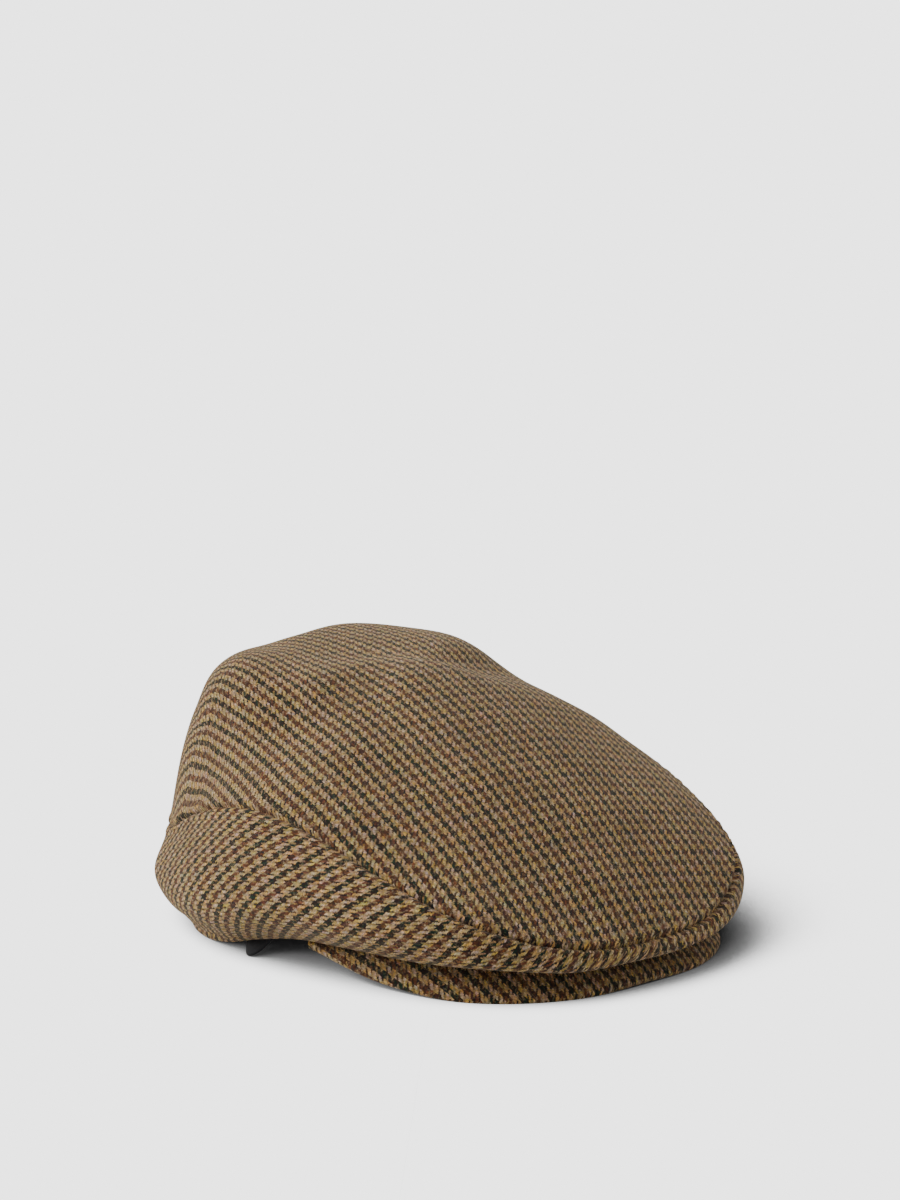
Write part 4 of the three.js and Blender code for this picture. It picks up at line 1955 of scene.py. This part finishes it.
@dataclass
class Inside:
    """The black sweatband and lining, in millimetres.

    Attributes:
        form: The crown that they hang in.
        end: The sweatband's sewn end.
        band_wall: The band's thickness.
        band_height: Its height.
        band_rise: Height of its lower edge over the hem.
        band_inset: How far inside the hem it stands.
        lean: How far it leans in at its upper edge.
        piping: Swelling of its upper edge, how far below that edge it lies, and its half-width.
        band_columns: Columns from its lower to its upper edge.
        inset: How far the lining hangs inside the crown's outer face.
        lining_foot: Where its lower edge lies from the hem, as (radius, height).
        tuck: Size of its soft tucks.
        tuck_wave: Usual distance between them.
        lining_wall: Its thickness.
        lining_columns: Columns from its foot to the apex.
        rows: Rows round the cap.
    """

    form: CrownForm
    end: BandEnd = BandEnd()
    band_wall: float = 1.0
    band_height: float = 28.0
    band_rise: float = 0.5
    band_inset: float = 1.0
    lean: float = 1.2
    piping: Triple = (0.5, 1.2, 1.0)
    band_columns: int = 30
    inset: float = 3.5
    lining_foot: Pair = (0.8, 21.0)
    tuck: float = 0.5
    tuck_wave: float = 24.0
    lining_wall: float = 0.5
    lining_columns: int = 64
    rows: int = 360

    def band(self) -> bpy.types.Object:
        """Builds the sweatband, with its sewn end hanging below the hem."""
        angles = np.arange(self.rows) * 360 / self.rows
        hem = self.form.line("hem", angles)
        hang = self.end.hang(angles)
        bottom = (hem[:, 1] + self.band_rise) * (1 - hang) + self.end.low * hang
        top = hem[:, 1] + self.band_rise + self.band_height
        shares = np.linspace(0, 1, self.band_columns)
        height = bottom[:, None] + (top - bottom)[:, None] * shares
        push = self.end.out * hang[:, None] * np.clip(1 - height / self.end.bend, 0, 1)
        swelling, below, width = self.piping
        piping = swelling * bell((1 - shares) * self.band_height, below, width)
        run, _ = ring_length(self.form.place(hem[:, None], angles)[:, 0], True)
        coords = np.stack([np.repeat(run[:, None], len(shares), axis=1), height], axis=-1)
        mesh = MeshBuilder()
        sides = []
        for inward, swell in ((0.0, 0.0), (self.band_wall, 1.0)):
            radius = hem[:, :1] - self.band_inset - inward - self.lean * shares - piping * swell + push
            cut = np.stack([radius, height], axis=-1)
            sides.append(mesh.add(self.form.place(cut, angles), coords, True, flip=bool(swell)))
        close_wall(mesh, sides[0], sides[1], True)
        return mesh.build("band")

    def lining(self) -> bpy.types.Object:
        """Builds the lining that hangs inside the crown."""
        angles = np.arange(self.rows) * 360 / self.rows
        lines = np.array([float(SEAM + 1), float(SEAM + 2)])
        crown = self.form.smooth(angles, lines) - self.form.outward(angles, lines) * self.inset
        upper = np.stack([np.hypot(crown[..., 0], crown[..., 1]), crown[..., 2]], axis=-1)
        foot = self.form.line("hem", angles) + np.array(self.lining_foot)
        waist = self.form.line("waist", angles)
        apex = np.broadcast_to([0.0, APEX_HEIGHT - self.inset], (len(angles), 1, 2))
        points = np.concatenate([foot[:, None], waist[:, None], upper, apex], axis=1)
        steps = np.linspace(0, points.shape[1] - 1, self.lining_columns)
        outer = self.form.place(self.form.profile(points, steps), angles)
        tucks = self.tuck * SurfaceNoise(self.tuck_wave, 31).at(outer)
        outer = outer - surface_normals(outer, True) * (self.tuck + tucks)[..., None]
        outer[:, -1] = outer[:, -1].mean(axis=0)
        inner = outer - surface_normals(outer, True) * self.lining_wall
        inner[:, -1] = inner[:, -1].mean(axis=0) - np.array([0, 0, self.lining_wall])
        coords = outer[..., :2]
        mesh = MeshBuilder()
        close_wall(mesh, mesh.add(outer, coords, True), mesh.add(inner, coords, True, flip=True), True)
        return mesh.build("lining_cloth")


# --------------------------------------
# The studio
# --------------------------------------


@dataclass(frozen=True)
class SoftLight:
    """A far, soft light.

    Attributes:
        name: Its name.
        side: How far it stands towards the camera's right, against the other two.
        back: How far it stands beyond the cap.
        high: How high it stands.
        power: Its strength.
        spread: How wide it looks, in degrees.
    """

    name: str
    side: float
    back: float
    high: float
    power: float
    spread: float

    def hang(self, right: Vector, level: Vector) -> None:
        """Hangs the light.

        Args:
            right: The camera's right.
            level: The way that it looks, along the floor.
        """
        data = bpy.data.lights.new(self.name, "SUN")
        data.energy = self.power
        data.angle = math.radians(self.spread)
        made = put_in_scene(self.name, data)
        source = right * self.side + level * self.back + Vector((0, 0, self.high))
        made.rotation_mode = "QUATERNION"
        made.rotation_quaternion = source.to_track_quat("Z", "Y")


@dataclass(frozen=True)
class FloorPaint:
    """Paint that is white where the floor sees the main light, and dark where the cap hides it.

    Attributes:
        tone: How much of its light the floor gives back to the cap.
        reach: How near the cap has to be to hide the light, in metres.
        samples: How finely that is worked out.
        toward: Way of the main light, as the camera's own way, its right and up.
        shadow: How open the floor is to that light where its shadow starts and ends.
        core: The same for the shadow's dark core.
        white: Share of the glare outside the shadow.
        half_shade: Share of it in the shadow.
        dark: Share of it in the core.
    """

    tone: float = 0.8
    reach: float = 0.35
    samples: int = 24
    toward: Triple = (-0.5, -1.0, 1.0)
    shadow: Pair = (0.45, 0.80)
    core: Pair = (0.255, 0.40)
    white: float = 0.945
    half_shade: float = 0.053
    dark: float = 0.002

    def build(self, glare: float, right: Vector, level: Vector) -> bpy.types.Material:
        """Makes the paint.

        Args:
            glare: How bright the over-exposed floor looks.
            right: The camera's right.
            level: The way that it looks, along the floor.

        Returns:
            The material.
        """
        paint, sheet, shader = open_material("floor_paint")
        paint.node_tree.nodes.remove(shader)
        matt = sheet.node("ShaderNodeBsdfDiffuse")
        matt.inputs["Color"].default_value = (self.tone, self.tone, self.tone, 1)
        ahead, aside, up = self.toward
        toward = (level * ahead + right * aside + Vector((0, 0, up))).normalized()
        sky = sheet.node("ShaderNodeAmbientOcclusion", samples=self.samples)
        sheet.feed(sky.inputs["Distance"], self.reach)
        sheet.feed(sky.inputs["Normal"], sheet.vector(*toward))
        lit = sheet.ramp(sky.outputs["AO"], *self.shadow)
        dim = sheet.ramp(sky.outputs["AO"], *self.core)
        shade = sheet.scaled(dim, glare * self.half_shade, glare * self.dark)
        bright = sheet.node("ShaderNodeEmission")
        sheet.feed(bright.inputs["Strength"], sheet.scaled(lit, glare * self.white, shade))
        both = sheet.node("ShaderNodeMixShader")
        seen = sheet.node("ShaderNodeLightPath").outputs["Is Camera Ray"]
        for socket, value in zip(both.inputs, (seen, matt.outputs[0], bright.outputs[0])):
            sheet.feed(socket, value)
        sheet.feed(paint.node_tree.nodes["Material Output"].inputs["Surface"], both.outputs[0])
        return paint


@dataclass(frozen=True)
class Studio:
    """A long lens, a pale floor and soft light.

    Attributes:
        azimuth: Turn of the camera from the front towards the wearer's right, in degrees.
        elevation: How far the lens looks down, in degrees.
        aside: Place of the crown's axis beside the lens axis, in millimetres.
        below: Place of the floor under it below the lens axis.
        distance: From the lens to that point.
        lens: Focal length for a sensor as wide as the next.
        sensor: Width of the sensor.
        far: How far the lens sees, in metres.
        floor_size: Half of the floor's width, in metres.
        paint: The floor's paint.
        glare: How bright the over-exposed floor and backdrop look.
        room: Strength of the even light in the room.
        lights: The soft lights: a key from the camera's left and a little nearer, and two weaker ones.
    """

    azimuth: float = 42.5
    elevation: float = 12.1
    aside: float = -21.6
    below: float = -133.9
    distance: float = 1900.0
    lens: float = 174.8
    sensor: float = 36.0
    far: float = 200.0
    floor_size: float = 60.0
    paint: FloorPaint = FloorPaint()
    glare: float = 3.15
    room: float = 0.36
    lights: tuple[SoftLight, ...] = (
        SoftLight("key", side=-1.0, back=-0.05, high=0.6, power=2.4, spread=40.0),
        SoftLight("back", side=0.4, back=1.0, high=1.0, power=0.75, spread=60.0),
        SoftLight("fill", side=-0.3, back=-1.0, high=1.3, power=0.12, spread=60.0),
    )

    def axes(self) -> tuple[Vector, Vector, Vector]:
        """The camera's right, up and forward directions."""
        turn, tilt = math.radians(self.azimuth), math.radians(self.elevation)
        forward = Vector((math.sin(turn) * math.cos(tilt), math.cos(turn) * math.cos(tilt), -math.sin(tilt)))
        right = Vector((math.cos(turn), -math.sin(turn), 0))
        return right, right.cross(forward), forward

    def level(self) -> Vector:
        """The way that the camera looks, along the floor."""
        forward = self.axes()[2]
        return Vector((forward.x, forward.y, 0)).normalized()

    def camera(self, axis: Vector) -> None:
        """Sets the camera up.

        Args:
            axis: The foot of the crown's axis, in metres.
        """
        right, up, forward = self.axes()
        place = axis - (right * self.aside + up * self.below + forward * self.distance) * MM
        data = bpy.data.cameras.new("view")
        data.sensor_fit = "HORIZONTAL"
        data.sensor_width = self.sensor
        data.lens = self.lens
        data.clip_end = self.far
        made = put_in_scene("view", data)
        turn = Matrix((right, up, -forward)).transposed().to_4x4()
        made.matrix_world = Matrix.Translation(place) @ turn
        bpy.context.scene.camera = made

    def floor(self) -> bpy.types.Object:
        """Lays the pale floor."""
        size = self.floor_size
        mesh = bpy.data.meshes.new("floor")
        corners = [(-size, -size, 0), (size, -size, 0), (size, size, 0), (-size, size, 0)]
        mesh.from_pydata(corners, [], [(0, 1, 2, 3)])
        mesh.materials.append(self.paint.build(self.glare, self.axes()[0], self.level()))
        return put_in_scene("floor", mesh)

    def light_up(self) -> None:
        """Lights the room evenly and hangs the soft lights."""
        world = bpy.data.worlds.new("room")
        bpy.context.scene.world = world
        world.use_nodes = True
        glow = world.node_tree.nodes["Background"]
        glow.inputs["Color"].default_value = (1.0, 1.0, 1.0, 1)
        sheet = NodeSheet(world.node_tree)
        seen = sheet.node("ShaderNodeLightPath").outputs["Is Camera Ray"]
        sheet.feed(glow.inputs["Strength"], sheet.scaled(seen, self.glare - self.room, self.room))
        for light in self.lights:
            light.hang(self.axes()[0], self.level())


# --------------------------------------
# The cap
# --------------------------------------


DENTS = (
    Dent(centre=(18, -3, 112), along=(0.92, -0.38, 0), length=52, width=19, depth=3.4),
    Dent(centre=(24, 62, 107), along=(1, 0.3, 0), length=34, width=20, depth=-2.2),
    Dent(centre=(-50, 38, 106), along=(0.6, 1, 0), length=18, width=13, depth=-2.4),
    Dent(centre=(-26, 54, 111), along=(0.5, 1, 0), length=16, width=9, depth=1.3),
)


def dress(
    thing: bpy.types.Object, finish: bpy.types.Material, nodes: tuple[str, ...], axis: Vector
) -> None:
    """Gives a piece its finish and its place on the frame.

    Args:
        thing: The piece.
        finish: Its material.
        nodes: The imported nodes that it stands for.
        axis: Where the crown's axis meets the floor, in metres.
    """
    thing.data.materials.append(finish)
    thing.data.transform(Matrix.Translation(axis))
    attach(thing, "root")
    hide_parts(*nodes)
    LOG.info("%s: %d faces", thing.name, len(thing.data.polygons))


def crown_axis() -> Vector:
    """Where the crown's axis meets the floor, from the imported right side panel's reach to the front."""
    low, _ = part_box("side_panel_right")
    form = CrownForm(SECTIONS, ())
    ring = np.linspace(0, 180, 37)
    front = form.smooth(ring, np.linspace(0, SEAM, 61))[..., 1].min() * MM
    return Vector((0, float(low[1]) - front, 0))


def main() -> None:
    """Builds the cap, the studio and the camera."""
    logging.basicConfig(level=logging.INFO, format="%(name)s: %(message)s")
    form = CrownForm(SECTIONS, DENTS)
    axis = crown_axis()
    LOG.info("crown axis at %.4f", axis.y)
    studio = Studio()
    studio.camera(axis)
    weave = GunClubCheck().build()
    wool = WoolCheck().build(weave)
    tape = BlackCotton("sweatband_black", (0.010, 0.010, 0.012), rib=0.9, roughness=0.75, sheen=0.1).build()
    satin = BlackCotton("lining_black", (0.011, 0.011, 0.013), rib=0.3, roughness=0.45, sheen=0.2).build()
    crown, inside = Crown(form), Inside(form)
    dress(crown.top_panel(), wool, ("top_panel",), axis)
    dress(crown.side_panel("crown_side_right", 0), wool, ("side_panel_right",), axis)
    dress(crown.side_panel("crown_side_left", 180), wool, ("side_panel_left",), axis)
    dress(Peak(form).build(), wool, ("peak",), axis)
    dress(inside.band(), tape, ("sweatband",), axis)
    dress(inside.lining(), satin, ("lining",), axis)
    studio.floor()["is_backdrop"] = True
    studio.light_up()
    sizes = {"cad": CAD_BOX, "visual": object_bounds()}
    {name: [[float(v) for v in corner] for corner in box] for name, box in sizes.items()}


if __name__ == "__main__":
    main()
